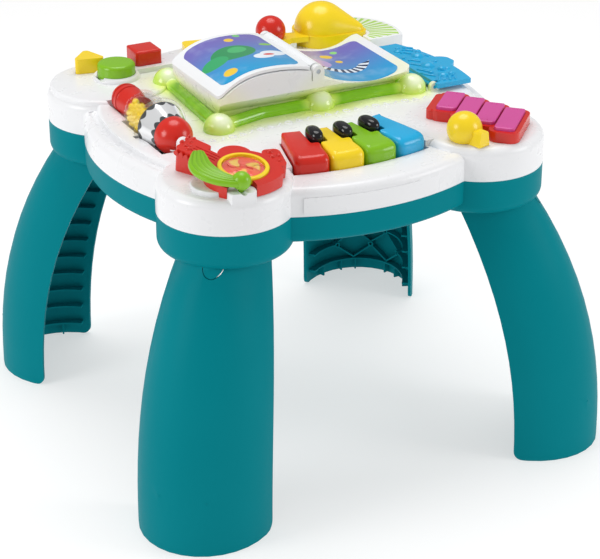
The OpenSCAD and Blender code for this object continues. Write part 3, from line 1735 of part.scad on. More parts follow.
module housing_screws() {
  color(steel) for (x = [-1, 1], y = [-1, 1])
    translate([x * side_half, y * side_half, tray_z + 2]) {
      cylinder(r = 3, h = 3);
      cylinder(r = screw_hole_r, h = tray_h + 4);
    }
}

top_shell();
base_tray();
leg_front_left();
leg_front_right();
leg_back_left();
leg_back_right();
book_base();
light_tube();
page_leaf();
leaf_label_front();
leaf_label_back();
bed_label_left();
bed_label_right();
page_pins();
circle_button();
triangle_button();
square_button();
red_key();
yellow_key();
green_key();
blue_key();
black_key_left();
black_key_middle();
black_key_right();
rattle_barrel();
rattle_back_cap();
rattle_front_cap();
rattle_ring();
rattle_mirror();
rattle_beads();
rattle_axle();
guitar_body();
spinner_ring();
spinner_disc();
strum_lever();
xylophone_base();
chime_bar_1();
chime_bar_2();
chime_bar_3();
chime_bar_4();
mallet_slider();
horn_track();
horn_knob();
press_plate();
corner_pad();
corner_label();
power_switch();
speaker();
main_board();
button_board();
key_board();
chime_board();
switch_domes();
batteries();
battery_contacts();
battery_door();
door_screw();
housing_screws();
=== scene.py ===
# %% [markdown]
# # A musical activity table, dressed for a studio picture
# The solid model of the toy is loaded first and never moved. Every later cell gives a
# finish to one of its pieces or adds a piece that is easier to make as a surface.

# %% Load the model
import math

import bmesh
import bpy
import numpy as np
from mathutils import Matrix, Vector


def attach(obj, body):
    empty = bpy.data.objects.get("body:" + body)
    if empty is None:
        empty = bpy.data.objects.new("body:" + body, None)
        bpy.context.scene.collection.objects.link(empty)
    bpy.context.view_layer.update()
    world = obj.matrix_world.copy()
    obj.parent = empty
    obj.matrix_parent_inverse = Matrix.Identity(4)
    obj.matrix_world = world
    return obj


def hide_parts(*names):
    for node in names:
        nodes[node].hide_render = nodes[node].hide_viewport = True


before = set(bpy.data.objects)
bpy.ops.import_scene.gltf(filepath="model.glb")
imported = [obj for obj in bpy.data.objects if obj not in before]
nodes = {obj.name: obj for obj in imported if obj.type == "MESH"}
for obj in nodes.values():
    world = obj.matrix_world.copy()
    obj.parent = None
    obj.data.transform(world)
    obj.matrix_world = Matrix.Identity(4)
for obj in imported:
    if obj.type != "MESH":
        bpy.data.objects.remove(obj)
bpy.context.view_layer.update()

# %% [markdown]
# ## Camera
# A product picture of a toy is taken from a little above, with a long lens, so that the
# legs stay nearly upright. The place, the aim and the lens are written as numbers because
# a camera constraint would be lost when the picture is made again elsewhere.

# %% Camera
CAMERA_AT = Vector((-0.8774, -1.7141, 1.0628))
CAMERA_AIM = Vector((0.1412, 0.2480, 0.0))
SENSOR_MM = 36
LENS_MM = 120


def look_at(eye, target):
    """The turn of a camera or lamp at eye whose -Z axis points at target."""
    return (target - eye).to_track_quat("-Z", "Y")


camera = bpy.data.objects.new("camera", bpy.data.cameras.new("camera"))
camera.data.lens = LENS_MM
camera.data.sensor_width = SENSOR_MM
camera.location = CAMERA_AT
camera.rotation_euler = look_at(CAMERA_AT, CAMERA_AIM).to_euler()
bpy.context.scene.collection.objects.link(camera)
bpy.context.scene.camera = camera
print("the camera stands", round((CAMERA_AT - CAMERA_AIM).length, 2), "m from its aim")

# %% [markdown]
# ## A small language for finishes
# A finish is a graph of shader nodes. Wiring it by hand hides the idea, so one class wraps a
# socket and gives it the usual operators: `1 - mask` then adds a Math node by itself.
# Colours go through Mix nodes, because a Math node would turn them grey.


# %% Shader maths
class Signal:
    """One output socket of a shader graph, with arithmetic on its value."""

    def __init__(self, finish, socket):
        self.finish, self.socket = finish, socket

    def _math(self, operation, a, b=None):
        values = {i: v for i, v in enumerate((a, b)) if v is not None}
        return self.finish.node("ShaderNodeMath", {"operation": operation}, values)

    def __add__(self, other):
        return self._math("ADD", self, other)

    def __radd__(self, other):
        return self._math("ADD", other, self)

    def __sub__(self, other):
        return self._math("SUBTRACT", self, other)

    def __rsub__(self, other):
        return self._math("SUBTRACT", other, self)

    def __mul__(self, other):
        return self._math("MULTIPLY", self, other)

    def __lt__(self, other):
        return self._math("LESS_THAN", self, other)

    def power(self, exponent):
        return self._math("POWER", self, exponent)

    def sine(self):
        return self._math("SINE", self)

    def absolute(self):
        return self._math("ABSOLUTE", self)

    def at_least(self, other):
        return self._math("MAXIMUM", self, other)

    def at_most(self, other):
        return self._math("MINIMUM", self, other)

    def angle_to(self, other):
        return self._math("ARCTAN2", self, other)

    def step(self, low, high):
        """0 below low, 1 above high, a smooth rise between them."""
        return self.finish.node(
            "ShaderNodeMapRange",
            {"interpolation_type": "SMOOTHSTEP"},
            {0: self, 1: low, 2: high, 3: 0.0, 4: 1.0},
        )


class Finish:
    """A node material that starts as one plain Principled shader."""

    def __init__(self, name, color, roughness, **settings):
        self.material = bpy.data.materials.new(name)
        self.material.use_nodes = True
        self.tree = self.material.node_tree
        self.shader = self.tree.nodes["Principled BSDF"]
        self.material.diffuse_color = (*color, 1)
        self.set("Base Color", (*color, 1))
        self.set("Roughness", roughness)
        for socket, value in settings.items():
            self.set(socket.replace("_", " "), value)
        self._object = None

    def set(self, socket, value):
        """A number goes on the shader's socket and a Signal is wired to it."""
        target = self.shader.inputs[socket]
        if isinstance(value, Signal):
            self.tree.links.new(value.socket, target)
        else:
            target.default_value = value

    def node(self, kind, settings=None, values=None, out=0):
        """Adds a node: its settings first, then its sockets' values or links."""
        made = self.tree.nodes.new(kind)
        for key, value in (settings or {}).items():
            setattr(made, key, value)
        for key, value in (values or {}).items():
            if isinstance(value, Signal):
                self.tree.links.new(value.socket, made.inputs[key])
            else:
                made.inputs[key].default_value = value
        return Signal(self, made.outputs[out])

    def place(self):
        """The point of the surface in metres, the same in every view and pose."""
        if self._object is None:
            self._object = self.node("ShaderNodeTexCoord", out=3)
        return self._object

    def axes(self):
        """The three coordinates of the point, each as a Signal."""
        split = self.tree.nodes.new("ShaderNodeSeparateXYZ")
        self.tree.links.new(self.place().socket, split.inputs[0])
        return [Signal(self, split.outputs[i]) for i in range(3)]

    def noise(self, scale, detail):
        values = {"Vector": self.place(), "Scale": scale, "Detail": detail}
        return self.node("ShaderNodeTexNoise", values=values)

    def mix(self, mask, low, high):
        """Colour low where the mask is 0 and high where it is 1."""
        low, high = [v if isinstance(v, Signal) else (*v, 1) for v in (low, high)]
        made = self.tree.nodes.new("ShaderNodeMix")
        made.data_type = "RGBA"
        for index, value in ((0, mask), (6, low), (7, high)):
            if isinstance(value, Signal):
                self.tree.links.new(value.socket, made.inputs[index])
            else:
                made.inputs[index].default_value = value
        return Signal(self, made.outputs[2])

    def bump(self, height, strength, distance):
        values = {"Height": height, "Strength": strength, "Distance": distance}
        self.set("Normal", self.node("ShaderNodeBump", values=values))


# %% [markdown]
# ## Moulded plastic
# Every coloured piece is injection-moulded ABS: glossy, with a barely uneven sheen and a skin
# that ripples very slightly. The colour drifts by one part in twenty-five over a hand's
# width, and less on white, which keeps large plain areas from looking painted.


# %% Moulded plastic
RIPPLE_STRENGTH, RIPPLE_HEIGHT = 0.05, 0.0004
SHEEN_SPREAD = 0.06


def moulded(name, color, roughness=0.24, drift=0.04, **settings):
    """Its colour drifts with slow noise, its roughness and skin with fine noise."""
    finish = Finish(name, color, roughness, **settings)
    cloud = finish.noise(9, 2)
    darker = tuple(c * (1 - drift) for c in color)
    lighter = tuple(min(1, c * (1 + drift) + 0.002) for c in color)
    finish.set("Base Color", finish.mix(cloud, darker, lighter))
    least = roughness - SHEEN_SPREAD / 2
    finish.set("Roughness", least + finish.noise(70, 2) * SHEEN_SPREAD)
    finish.bump(finish.noise(260, 2), RIPPLE_STRENGTH, RIPPLE_HEIGHT)
    return finish


WHITE = moulded("white_plastic", (0.86, 0.875, 0.89), 0.3, drift=0.012)
TEAL = moulded("teal_plastic", (0.0, 0.215, 0.255), 0.45, Specular_IOR_Level=0.03)
RED = moulded("red_plastic", (0.64, 0.018, 0.008))
YELLOW = moulded("yellow_plastic", (0.92, 0.66, 0.012))
GREEN = moulded("green_plastic", (0.22, 0.5, 0.008))
BLUE = moulded("blue_plastic", (0.01, 0.4, 0.72))
MAGENTA = moulded("magenta_plastic", (0.64, 0.07, 0.32))
BLACK = moulded("black_plastic", (0.008, 0.008, 0.01), 0.14)
STEEL = moulded("plated_steel", (0.6, 0.6, 0.62), 0.32, Metallic=1.0)
BOARD = moulded("circuit_board", (0.02, 0.2, 0.08), 0.45)
RUBBER = moulded("silicone_rubber", (0.03, 0.03, 0.035), 0.6)
print("made", len(bpy.data.materials), "materials")

# %% [markdown]
# ## Light tube and the glow round it
# Lamps inside the lime tube make its five domes pale in the middle and throw a yellow green
# glow on the white plastic beside them. No lamp stands in the tube here: the pale domes, the
# glow and the tube's highlights are painted light, part of the finishes. A mask of the
# distance to the nearest lamp, or to the tube's rounded rectangle, mixes the colours.

# %% Lit finishes
LAMPS = [(-0.095, -0.033), (0.024, -0.020), (0.132, -0.021), (0.128, 0.100), (-0.086, 0.112)]
LAMP_Z = 0.345
# The rounded rectangle of the tube: its centre and half its length each way
TUBE_AT, TUBE_HALF = (0.0205, 0.036), (0.108, 0.062)
UNLIT_WHITE = (0.84, 0.845, 0.86)


def nearest_lamp(x, y, z, lift, north_shift):
    """Distance from a point to the nearest of the lamps, each raised and moved a little."""
    least = None
    for east, north in LAMPS:
        away = ((x - east).power(2) + (y - north - north_shift).power(2)
                + (z - LAMP_Z - lift).power(2)).power(0.5)
        least = away if least is None else least.at_most(away)
    return least


def lime_finish():
    """Clear green along the tube with painted light: pale towards every lamp, a little emission
    of its own, and painted highlights in patches.
    """
    finish = Finish("lime_translucent", (0.3, 0.62, 0.02), 0.16, Coat_Weight=0.3)
    x, y, z = finish.axes()
    away = nearest_lamp(x, y, z, 0.003, -0.006)
    # Painted glow: the domes turn pale, then white green, towards the places of the lamps
    # inside.
    color = finish.mix(away.step(0.013, 0.026), (0.55, 0.74, 0.12), (0.2, 0.5, 0.008))
    color = finish.mix(away.step(0.004, 0.0145), (0.8, 0.88, 0.62), color)
    # Painted highlight: up to a quarter of the way to bright yellow green, in patches scattered
    # by noise.
    line = finish.noise(60, 1)
    color = finish.mix(line.step(0.45, 0.8) * 0.25, color, (0.5, 0.82, 0.1))
    finish.set("Base Color", color)
    # Painted glow: a little emission in the tube's own colour, though no lamp is in it.
    finish.set("Emission Color", color)
    finish.set("Emission Strength", 0.12)
    finish.bump(finish.noise(120, 2), 0.05, 0.0005)
    return finish


def glowing_white(name, glow_tint, near, far, low=None):
    """White plastic with painted glow: fading between two distances from the tube, or upwards
    from a low height, plus a painted glow round each lamp.
    """
    finish = Finish(name, UNLIT_WHITE, 0.28)
    x, y, z = finish.axes()
    if low is None:
        # Painted glow round the tube: strong within near of its rectangle, gone past far.
        east = ((x - TUBE_AT[0]).absolute() - TUBE_HALF[0]).at_least(0)
        north = ((y - TUBE_AT[1]).absolute() - TUBE_HALF[1]).at_least(0)
        mask = 1 - (east.power(2) + north.power(2)).power(0.5).step(near, far)
    else:
        # Painted glow low on the piece, fading out upwards.
        mask = 1 - z.step(low, low + far)
    # Painted glow round each lamp's place.
    lamp = 1 - nearest_lamp(x, y, z, 0.0, 0.0).step(0.012, 0.05)
    mask = (mask * 0.7 + lamp * 0.4).at_most(1)
    # The painted glow mixes the white towards the glow's yellow green.
    finish.set("Base Color", finish.mix(mask, UNLIT_WHITE, glow_tint))
    finish.set("Roughness", 0.25 + finish.noise(70, 2) * SHEEN_SPREAD)
    return finish


LIME = lime_finish()
# Painted yellow green glow on the shell round the tube and its lamps.
SHELL = glowing_white("white_shell_lit", (0.84, 0.93, 0.3), 0.006, 0.028)
# Painted yellow green glow low on the book base, fading upwards, and round each lamp.
BOOK = glowing_white("white_book_lit", (0.88, 0.93, 0.25), 0.0, 0.026, low=0.34)
print("three finishes are lit by", len(LAMPS), "lamps")

# %% [markdown]
# ## Clear plastic and mirror foil
# The rattle's barrel and flange are polystyrene, clear enough to show the beads. Bright foil
# lines the cone between the flange and the red end: half a metal, a little rough, with a dark
# zigzag band along both of its edges.

# %% Clear and mirror finishes
CLEAR = Finish("clear_plastic", (0.97, 0.985, 0.99), 0.04, Transmission_Weight=1.0, IOR=1.2,
               Alpha=0.25)
RATTLE_X, RATTLE_Z = -0.150, 0.345
FOIL_NEAR, FOIL_FAR = -0.0405, -0.0165
ZIGZAG_WAVES, ZIGZAG_DEEP, ZIGZAG_EDGE = 7, 0.0045, 0.0003
FOIL_COLOR = (0.9, 0.91, 0.92)
MIRROR = Finish("mirror_foil", FOIL_COLOR, 0.12, Metallic=0.45)
x, y, z = MIRROR.axes()
around = (z - RATTLE_Z).angle_to(x - RATTLE_X)
point = (around * ZIGZAG_WAVES).sine().absolute() * ZIGZAG_DEEP
near_band = 1 - (y - FOIL_NEAR - point).step(-ZIGZAG_EDGE, ZIGZAG_EDGE)
far_band = (y - FOIL_FAR + point).step(-ZIGZAG_EDGE, ZIGZAG_EDGE)
zigzag = near_band.at_least(far_band)
MIRROR.set("Base Color", MIRROR.mix(zigzag, FOIL_COLOR, (0.1, 0.105, 0.11)))
print("the foil's zigzag has", ZIGZAG_WAVES * 2, "points on each side")

# %% [markdown]
# ## Printed pages
# The book's pages carry printed labels. The print is worked out in the material from the
# point's own place: a sky that runs from blue to violet, soft hills, and plain shapes.


# %% Printed pages
SKY, VIOLET = (0.0, 0.34, 0.68), (0.17, 0.14, 0.5)
HILL, SUN = (0.02, 0.3, 0.1), (0.9, 0.6, 0.04)
CLOUD, BERRY = (0.85, 0.93, 1.0), (0.75, 0.06, 0.04)
PRINT_EDGE = 0.0006
SKY_FADE = 0.05
# The striped arc: its centre, its inner and outer edges, its stripes, and where it stops
ARC_AT, ARC_STRIPES, ARC_TOP = (-0.002, 0.012), 26, -0.004
ARC_INNER, ARC_OUTER = (0.0255, 0.0262), (0.0365, 0.0372)


def disc(x, y, at, radius):
    """1 inside a circle, 0 outside, with a thin soft edge."""
    away = ((x - at[0]).power(2) + (y - at[1]).power(2)).power(0.5)
    return 1 - away.step(radius - PRINT_EDGE, radius + PRINT_EDGE)


def page_print(name, centre, low, high, shapes, arc=False):
    """A gradient from low to high along Y with coloured shapes, and a striped arc if asked."""
    finish = Finish(name, high, 0.22, Coat_Weight=0.4)
    x, y, _ = finish.axes()
    x, y = x - centre[0], y - centre[1]
    color = finish.mix(y.step(-SKY_FADE, SKY_FADE), low, high)
    haze = finish.noise(28, 3)
    color = finish.mix(haze.step(0.5, 0.75) * 0.25, color, (0.75, 0.9, 1.0))
    for at, radius, stretch, paint in shapes:
        mask = disc(x, (y - at[1]) * stretch + at[1], at, radius)
        color = finish.mix(mask, color, paint)
    if arc:
        away = ((x - ARC_AT[0]).power(2) + (y - ARC_AT[1]).power(2)).power(0.5)
        ring = away.step(*ARC_INNER) * (1 - away.step(*ARC_OUTER)) * (y < ARC_TOP)
        angle = (y - ARC_AT[1]).angle_to(x - ARC_AT[0])
        stripe = (angle * ARC_STRIPES).sine().step(-0.05, 0.1)
        color = finish.mix(ring, color, finish.mix(stripe, (0.01, 0.03, 0.1), CLOUD))
    finish.set("Base Color", color)
    return finish


# Each shape: its centre, its radius, how far it is flattened, and its colour
LEFT_SHAPES = [
    ((-0.010, 0.004), 0.024, 1.35, HILL),
    ((-0.034, -0.004), 0.014, 1.3, (0.03, 0.4, 0.14)),
    ((-0.004, 0.008), 0.010, 1.2, (0.06, 0.48, 0.16)),
    ((0.026, -0.014), 0.014, 1.7, CLOUD),
    ((0.013, -0.020), 0.011, 1.5, CLOUD),
    ((0.020, -0.017), 0.006, 2.2, BERRY),
    ((-0.032, -0.036), 0.007, 1.0, SUN),
    ((0.001, 0.038), 0.005, 1.0, SUN),
    ((0.032, 0.016), 0.007, 2.0, (0.25, 0.6, 0.08)),
    ((0.014, 0.048), 0.004, 1.0, (0.2, 0.6, 0.2)),
]
RIGHT_SHAPES = [
    ((-0.026, 0.008), 0.017, 1.1, (0.5, 0.36, 0.72)),
    ((-0.030, 0.004), 0.008, 1.0, (0.72, 0.6, 0.85)),
    ((-0.002, 0.030), 0.007, 1.2, SUN),
    ((0.012, 0.040), 0.004, 1.0, (0.3, 0.75, 0.2)),
    ((0.004, 0.012), 0.004, 1.0, SUN),
]
PAGE_LEFT = page_print("left_page_print", (-0.038, 0.027), SKY, VIOLET, LEFT_SHAPES)
PAGE_RIGHT = page_print("right_page_print", (0.075, 0.027), SKY, VIOLET, RIGHT_SHAPES, arc=True)
print("the pages carry", len(LEFT_SHAPES) + len(RIGHT_SHAPES), "printed shapes")

# %% [markdown]
# The raised corner carries a printed sunburst: its rays are where the sine of many times the
# angle round one point is high.

# %% Corner print
SUNBURST_AT, SUNBURST_RAYS = (0.15, 0.15), 34
CORNER = Finish("sunburst_print", (0.5, 0.75, 0.2), 0.25, Coat_Weight=0.4)
x, y, _ = CORNER.axes()
rays = ((y - SUNBURST_AT[1]).angle_to(x - SUNBURST_AT[0]) * SUNBURST_RAYS).sine()
burst = CORNER.mix(rays.step(-0.1, 0.1), (0.42, 0.72, 0.1), (0.86, 0.93, 0.72))
CORNER.set("Base Color", burst)
print("a whole sunburst would have", SUNBURST_RAYS, "rays")

# %% [markdown]
# The disc under the clear dish is red with three yellow swirls. Each swirl is where the sine
# of three times an angle is high, and the angle runs ahead with the distance from the middle.

# %% Spinner print
GUITAR_AT = np.array([-133.0, -166.0, 353.0])
GUITAR_LEAN = 9.0
SWIRLS, SWIRL_TWIST = 3, 0.16
SWIRL = Finish("swirl_print", (0.8, 0.1, 0.03), 0.25)
x, y, _ = SWIRL.axes()
# Millimetres from the middle of the disc, stretched a little as the disc leans towards Y
x, y = (x - GUITAR_AT[0] / 1000) * 1000, (y - GUITAR_AT[1] / 1000) * 1012
away = (x.power(2) + y.power(2)).power(0.5)
wave = (y.angle_to(x) * SWIRLS + away * SWIRL_TWIST).sine()
band = wave.step(0.25, 0.4) * away.step(3.5, 5.0) * (1 - away.step(15.0, 16.5))
SWIRL.set("Base Color", SWIRL.mix(band, (0.76, 0.06, 0.02), (0.8, 0.5, 0.06)))
print("the disc has", SWIRLS, "swirls")

# %% [markdown]
# ## Finishes on the solids
# The solids come with flat triangles. Welding their corners and splitting only the sharp
# edges gives smooth shading without moving a vertex by more than the weld's reach.


# %% Dress the solids
WELD_REACH = 0.00002
SOLID_SMOOTH = 32


def shade_smooth(mesh):
    mesh.polygons.foreach_set("use_smooth", [True] * len(mesh.polygons))


def split_edges(piece, angle):
    """Smooth shading up to that many degrees between faces, sharp beyond it."""
    split = piece.modifiers.new("sharp edges", "EDGE_SPLIT")
    split.split_angle = math.radians(angle)


def soften(piece):
    """Smooth shading for a solid that comes with flat triangles."""
    mesh = piece.data
    if "custom_normal" in mesh.attributes:
        mesh.attributes.remove(mesh.attributes["custom_normal"])
    shade_smooth(mesh)
    weld = piece.modifiers.new("weld", "WELD")
    weld.merge_threshold = WELD_REACH
    split_edges(piece, SOLID_SMOOTH)


def dress(finish, *names):
    """Gives each of the named solids one finish and smooth shading."""
    for name in names:
        piece = nodes[name]
        piece.data.materials.clear()
        piece.data.materials.append(finish.material)
        soften(piece)


dress(WHITE, "page_leaf", "corner_pad")
dress(SHELL, "top_shell")
dress(BOOK, "book_base")
dress(TEAL, "base_tray", "battery_door", "leg_front_left", "leg_front_right",
      "leg_back_left", "leg_back_right")
dress(LIME, "light_tube")
dress(PAGE_LEFT, "leaf_label_front", "leaf_label_back", "bed_label_left")
dress(PAGE_RIGHT, "bed_label_right")
dress(CORNER, "corner_label")
dress(RED, "square_button", "red_key", "rattle_back_cap", "rattle_front_cap",
      "guitar_body", "xylophone_base", "horn_knob")
dress(SWIRL, "spinner_disc")
dress(YELLOW, "triangle_button", "yellow_key", "spinner_ring", "mallet_slider",
      "horn_track", "rattle_beads")
dress(GREEN, "circle_button", "green_key", "strum_lever")
dress(BLUE, "blue_key", "press_plate")
dress(MAGENTA, "chime_bar_1", "chime_bar_2", "chime_bar_3", "chime_bar_4")
dress(BLACK, "black_key_left", "black_key_middle", "black_key_right", "power_switch",
      "speaker")
dress(CLEAR, "rattle_barrel", "rattle_ring")
dress(MIRROR, "rattle_mirror")
dress(STEEL, "rattle_axle", "page_pins", "batteries", "battery_contacts", "door_screw",
      "housing_screws")
dress(BOARD, "main_board", "button_board", "key_board", "chime_board")
dress(RUBBER, "switch_domes")
print("dressed", sum(1 for n in nodes.values() if n.data.materials), "solids")

# %% [markdown]
# ## Surfaces from arrays
# The smaller forms of the toy are easier to make as surfaces than as solids: a ridge, a leaf
# with flutes, a clear dish. Each is an array of points, rows by columns, worked out with
# numpy, and one helper joins neighbouring points with four-sided faces.


# %% Surface helpers
def quads_of(rows, columns, start=0):
    """Corner numbers of the faces between neighbouring points, the last column's too."""
    index = start + np.arange(rows * columns).reshape(rows, columns)
    index = np.hstack([index, index[:, :1]])
    corners = [index[:-1, :-1], index[1:, :-1], index[1:, 1:], index[:-1, 1:]]
    return np.stack(corners, -1).reshape(-1, 4)


def made_piece(name, points, faces, finish, body, merge=0.0):
    """One smooth piece on a body: near points merged if asked, and faced outwards."""
    mesh = bpy.data.meshes.new(name)
    mesh.from_pydata(points, [], faces)
    shape = bmesh.new()
    shape.from_mesh(mesh)
    if merge:
        bmesh.ops.remove_doubles(shape, verts=shape.verts, dist=merge)
    bmesh.ops.recalc_face_normals(shape, faces=shape.faces)
    caps = [face for face in shape.faces if len(face.verts) > 4]
    if caps:
        bmesh.ops.triangulate(shape, faces=caps)
    shape.to_mesh(mesh)
    shape.free()
    shade_smooth(mesh)
    mesh.materials.append(finish.material)
    piece = bpy.data.objects.new(name, mesh)
    bpy.context.scene.collection.objects.link(piece)
    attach(piece, body)
    return piece


def piece_of(name, grids, finish, body):
    """One piece from several grids of points whose columns run round in a loop."""
    points, faces, start = [], [], 0
    for grid in grids:
        rows, columns = grid.shape[:2]
        faces.append(quads_of(rows, columns, start))
        points.append(grid.reshape(-1, 3))
        start += rows * columns
    return made_piece(name, np.concatenate(points).tolist(), np.concatenate(faces).tolist(),
                      finish, body, merge=0.000004)


def ridge(path, radius, height=1.0, sides=10):
    """A round ridge along a flat path: at every point of the path a circle stands square
    to it, and its two ends shrink to points. Height stretches the circle upwards."""
    path = np.asarray(path, float)
    first, last = path[0] * 2 - path[1], path[-1] * 2 - path[-2]
    line = np.vstack([first, path, last])
    size = np.ones(len(path))
    size[0] = size[-1] = 0.0
    ahead = line[2:] - line[:-2]
    ahead /= np.linalg.norm(ahead, axis=1, keepdims=True)
    up = np.array([0.0, 0.0, 1.0])
    across = np.cross(ahead, up)
    across /= np.linalg.norm(across, axis=1, keepdims=True)
    turn = np.linspace(0, 2 * np.pi, sides, endpoint=False)[None, :, None]
    ring = across[:, None] * np.cos(turn) + up * np.sin(turn) * height
    return path[:, None] + ring * (size * radius)[:, None, None]


# %% [markdown]
# ## Raised marks round the book
# A row of small white reliefs follows the light tube. On the real toy they are moulded with
# the shell. Here each is a flat line drawing, such as a ring, a chevron or a wave, and the
# ridge function turns its lines into rounded relief. The drawings repeat in a mixed order.

# %% Raised marks
turn24 = np.linspace(0, 2 * np.pi, 24, endpoint=False)
span9 = np.linspace(-1, 1, 9)
# Each mark is one stroke or two: points in a unit square, and whether the stroke is closed
MARKS = [
    [(np.stack([np.cos(turn24), np.sin(turn24)], -1) * 0.45, True)],
    [(np.array([(-0.42, 0.45), (-0.2, 0), (0, -0.45), (0.2, 0), (0.42, 0.45)]), False)],
    [(np.stack([span9 * 0.45, np.sin(span9 * np.pi) * 0.3], -1), False)],
    [(np.array([(-0.4, -0.4), (0, -0.4), (0.4, -0.4), (0.4, 0), (0.4, 0.4), (0, 0.4),
                (-0.4, 0.4), (-0.4, 0)]), True)],
    [(np.array([(0, -0.45), (0, 0), (0, 0.45)]), False),
     (np.array([(-0.4, 0), (0, 0), (0.4, 0)]), False)],
    [(np.array([(-0.42, -0.4), (0, -0.4), (0.42, -0.4), (0.21, 0.02), (0, 0.45),
                (-0.21, 0.02)]), True)],
    [(np.stack([np.cos(turn24[:15] + 0.7), np.sin(turn24[:15] + 0.7)], -1) * 0.44, False)],
    [(np.array([(-0.3, 0.45), (-0.3, 0), (-0.3, -0.45)]), False),
     (np.array([(0.2, 0.45), (0.2, 0), (0.2, -0.45)]), False)],
]
MARK_LINE = np.array([(-0.160, -0.062), (-0.146, -0.054), (-0.1295, -0.052), (-0.1035, -0.0575),
                      (-0.082, -0.0545), (-0.0535, -0.0505), (-0.023, -0.0465), (0.018, -0.0445),
                      (0.046, -0.0447), (0.097, -0.0465), (0.118, -0.0475), (0.139, -0.0485)])
MARK_SIZE, MARK_PITCH = 0.0078, 0.0112
MARK_LEVEL, MARK_RADIUS = 0.3369, 0.0008


def along(line, distance, look_ahead=0.004):
    """The point at a distance along a line of points, and the line's direction there."""
    step = np.linalg.norm(np.diff(line, axis=0), axis=1)
    mark = np.concatenate([[0], np.cumsum(step)])
    at = np.array([np.interp(distance, mark, line[:, k]) for k in range(2)])
    on = np.array([np.interp(distance + look_ahead, mark, line[:, k]) for k in range(2)]) - at
    return at, on / np.linalg.norm(on)


def relief_marks(line, level):
    """Ridges of every mark, each turned to the line it stands on."""
    length = np.linalg.norm(np.diff(line, axis=0), axis=1).sum()
    grids = []
    for number in range(int(length / MARK_PITCH)):
        at, on = along(line, (number + 0.4) * MARK_PITCH)
        side = np.array([-on[1], on[0]])
        for stroke, closed in MARKS[(number * 5 + number // 3) % len(MARKS)]:
            flat = at + (stroke[:, :1] * on + stroke[:, 1:] * side) * MARK_SIZE
            path = np.column_stack([flat, np.full(len(flat), level)])
            if closed:
                path = np.vstack([path, path[:1], path[1:2]])
            grids.append(ridge(path, MARK_RADIUS))
    return grids


strokes = relief_marks(MARK_LINE, MARK_LEVEL)
piece_of("raised_marks", strokes, WHITE, "table")
print("raised", len(strokes), "strokes on the shell")

# %% [markdown]
# ## Outlines with round corners
# A moulded key has no sharp corner in plan. It could be drawn with curve objects, but an
# array of points is easier to push inwards later. A curve replaces each corner, and the
# straight stretches get points of their own, so that an edge can change its width there.


# %% Outline helpers
def rounded(corners, radii, steps=7):
    """An outline with a curve at each corner, cut short where a side is too small for it."""
    corners = np.asarray(corners, float)
    outline = []
    for before, corner, after, radius in zip(np.roll(corners, 1, 0), corners,
                                             np.roll(corners, -1, 0), radii):
        back = (before - corner) / np.linalg.norm(before - corner)
        ahead = (after - corner) / np.linalg.norm(after - corner)
        half = math.acos(float(np.clip(back @ ahead, -0.9999, 0.9999))) / 2
        reach = min(radius / math.tan(half), 0.48 * np.linalg.norm(before - corner),
                    0.48 * np.linalg.norm(after - corner))
        start, end = corner + back * reach, corner + ahead * reach
        for t in np.linspace(0, 1, steps):
            outline.append((1 - t) ** 2 * start + 2 * t * (1 - t) * corner + t ** 2 * end)
    return np.array(outline)


def filled_out(outline, spacing=1.2):
    """The same closed outline with extra points along its straight stretches."""
    points = []
    for here, there in zip(outline, np.roll(outline, -1, 0)):
        count = max(1, int(np.linalg.norm(there - here) / spacing))
        points += [here + (there - here) * k / count for k in range(count)]
    return np.array(points)


def inward(outline):
    """Unit vectors square to a closed outline that runs anticlockwise, into it."""
    ahead = np.roll(outline, -1, 0) - np.roll(outline, 1, 0)
    ahead /= np.maximum(np.linalg.norm(ahead, axis=1, keepdims=True), 1e-9)
    return np.stack([-ahead[:, 1], ahead[:, 0]], -1)


# %% [markdown]
# ## Coloured keys with soft edges
# The solids have keys with plain bevels. The moulded ones are softer: a wide round edge at
# the front and down the free sides, a tight one where the black keys sit. Each key grows
# from its outline: rings rise along the outline, lean inwards over the edge and end in one
# flat top. Lengths are in millimetres here, with a key's length along Y from the middle of
# the keyboard's fan.

# %% Coloured keys
FAN_AT = np.array([-5.0, 108.0])
FAN_TURN, KEY_ANGLE, KEY_HALF = 0.75, 7.75, math.radians(3.786)
KEY_BACK, KEY_FRONT, BITE_FRONT, BITE_HALF = 210.0, 275.0, 241.1, 8.6
KEY_LOW, KEY_TOP, KEY_DROP = 326.0, 349.0, 2.0
FRONT_RADIUS, NOSE_RADIUS, BACK_RADIUS = 10.0, 30.0, 3.0
BITE_RADII = [4.5, 2.0, 1.2]
# Radius of the edge: by the notches, more past them and at the front, and on free sides
TIGHT_EDGE, BODY_EDGE, FRONT_EDGE, FREE_EDGE = 0.9, 4.2, 3.6, 4.6
BODY_FROM, BODY_OVER, FRONT_FROM, FRONT_OVER = BITE_FRONT + 0.5, 9, 262, 12
KEY_SMOOTH = 50


def on_keyboard(grid, keys):
    """Turns a grid by a number of keys round the fan's middle, and gives it in metres."""
    turn = math.radians(FAN_TURN + keys * KEY_ANGLE)
    x, y, z = grid[..., 0], grid[..., 1], grid[..., 2]
    east = FAN_AT[0] + x * math.cos(turn) - y * math.sin(turn)
    north = FAN_AT[1] + x * math.sin(turn) + y * math.cos(turn)
    return np.stack([east, north, z], -1) / 1000


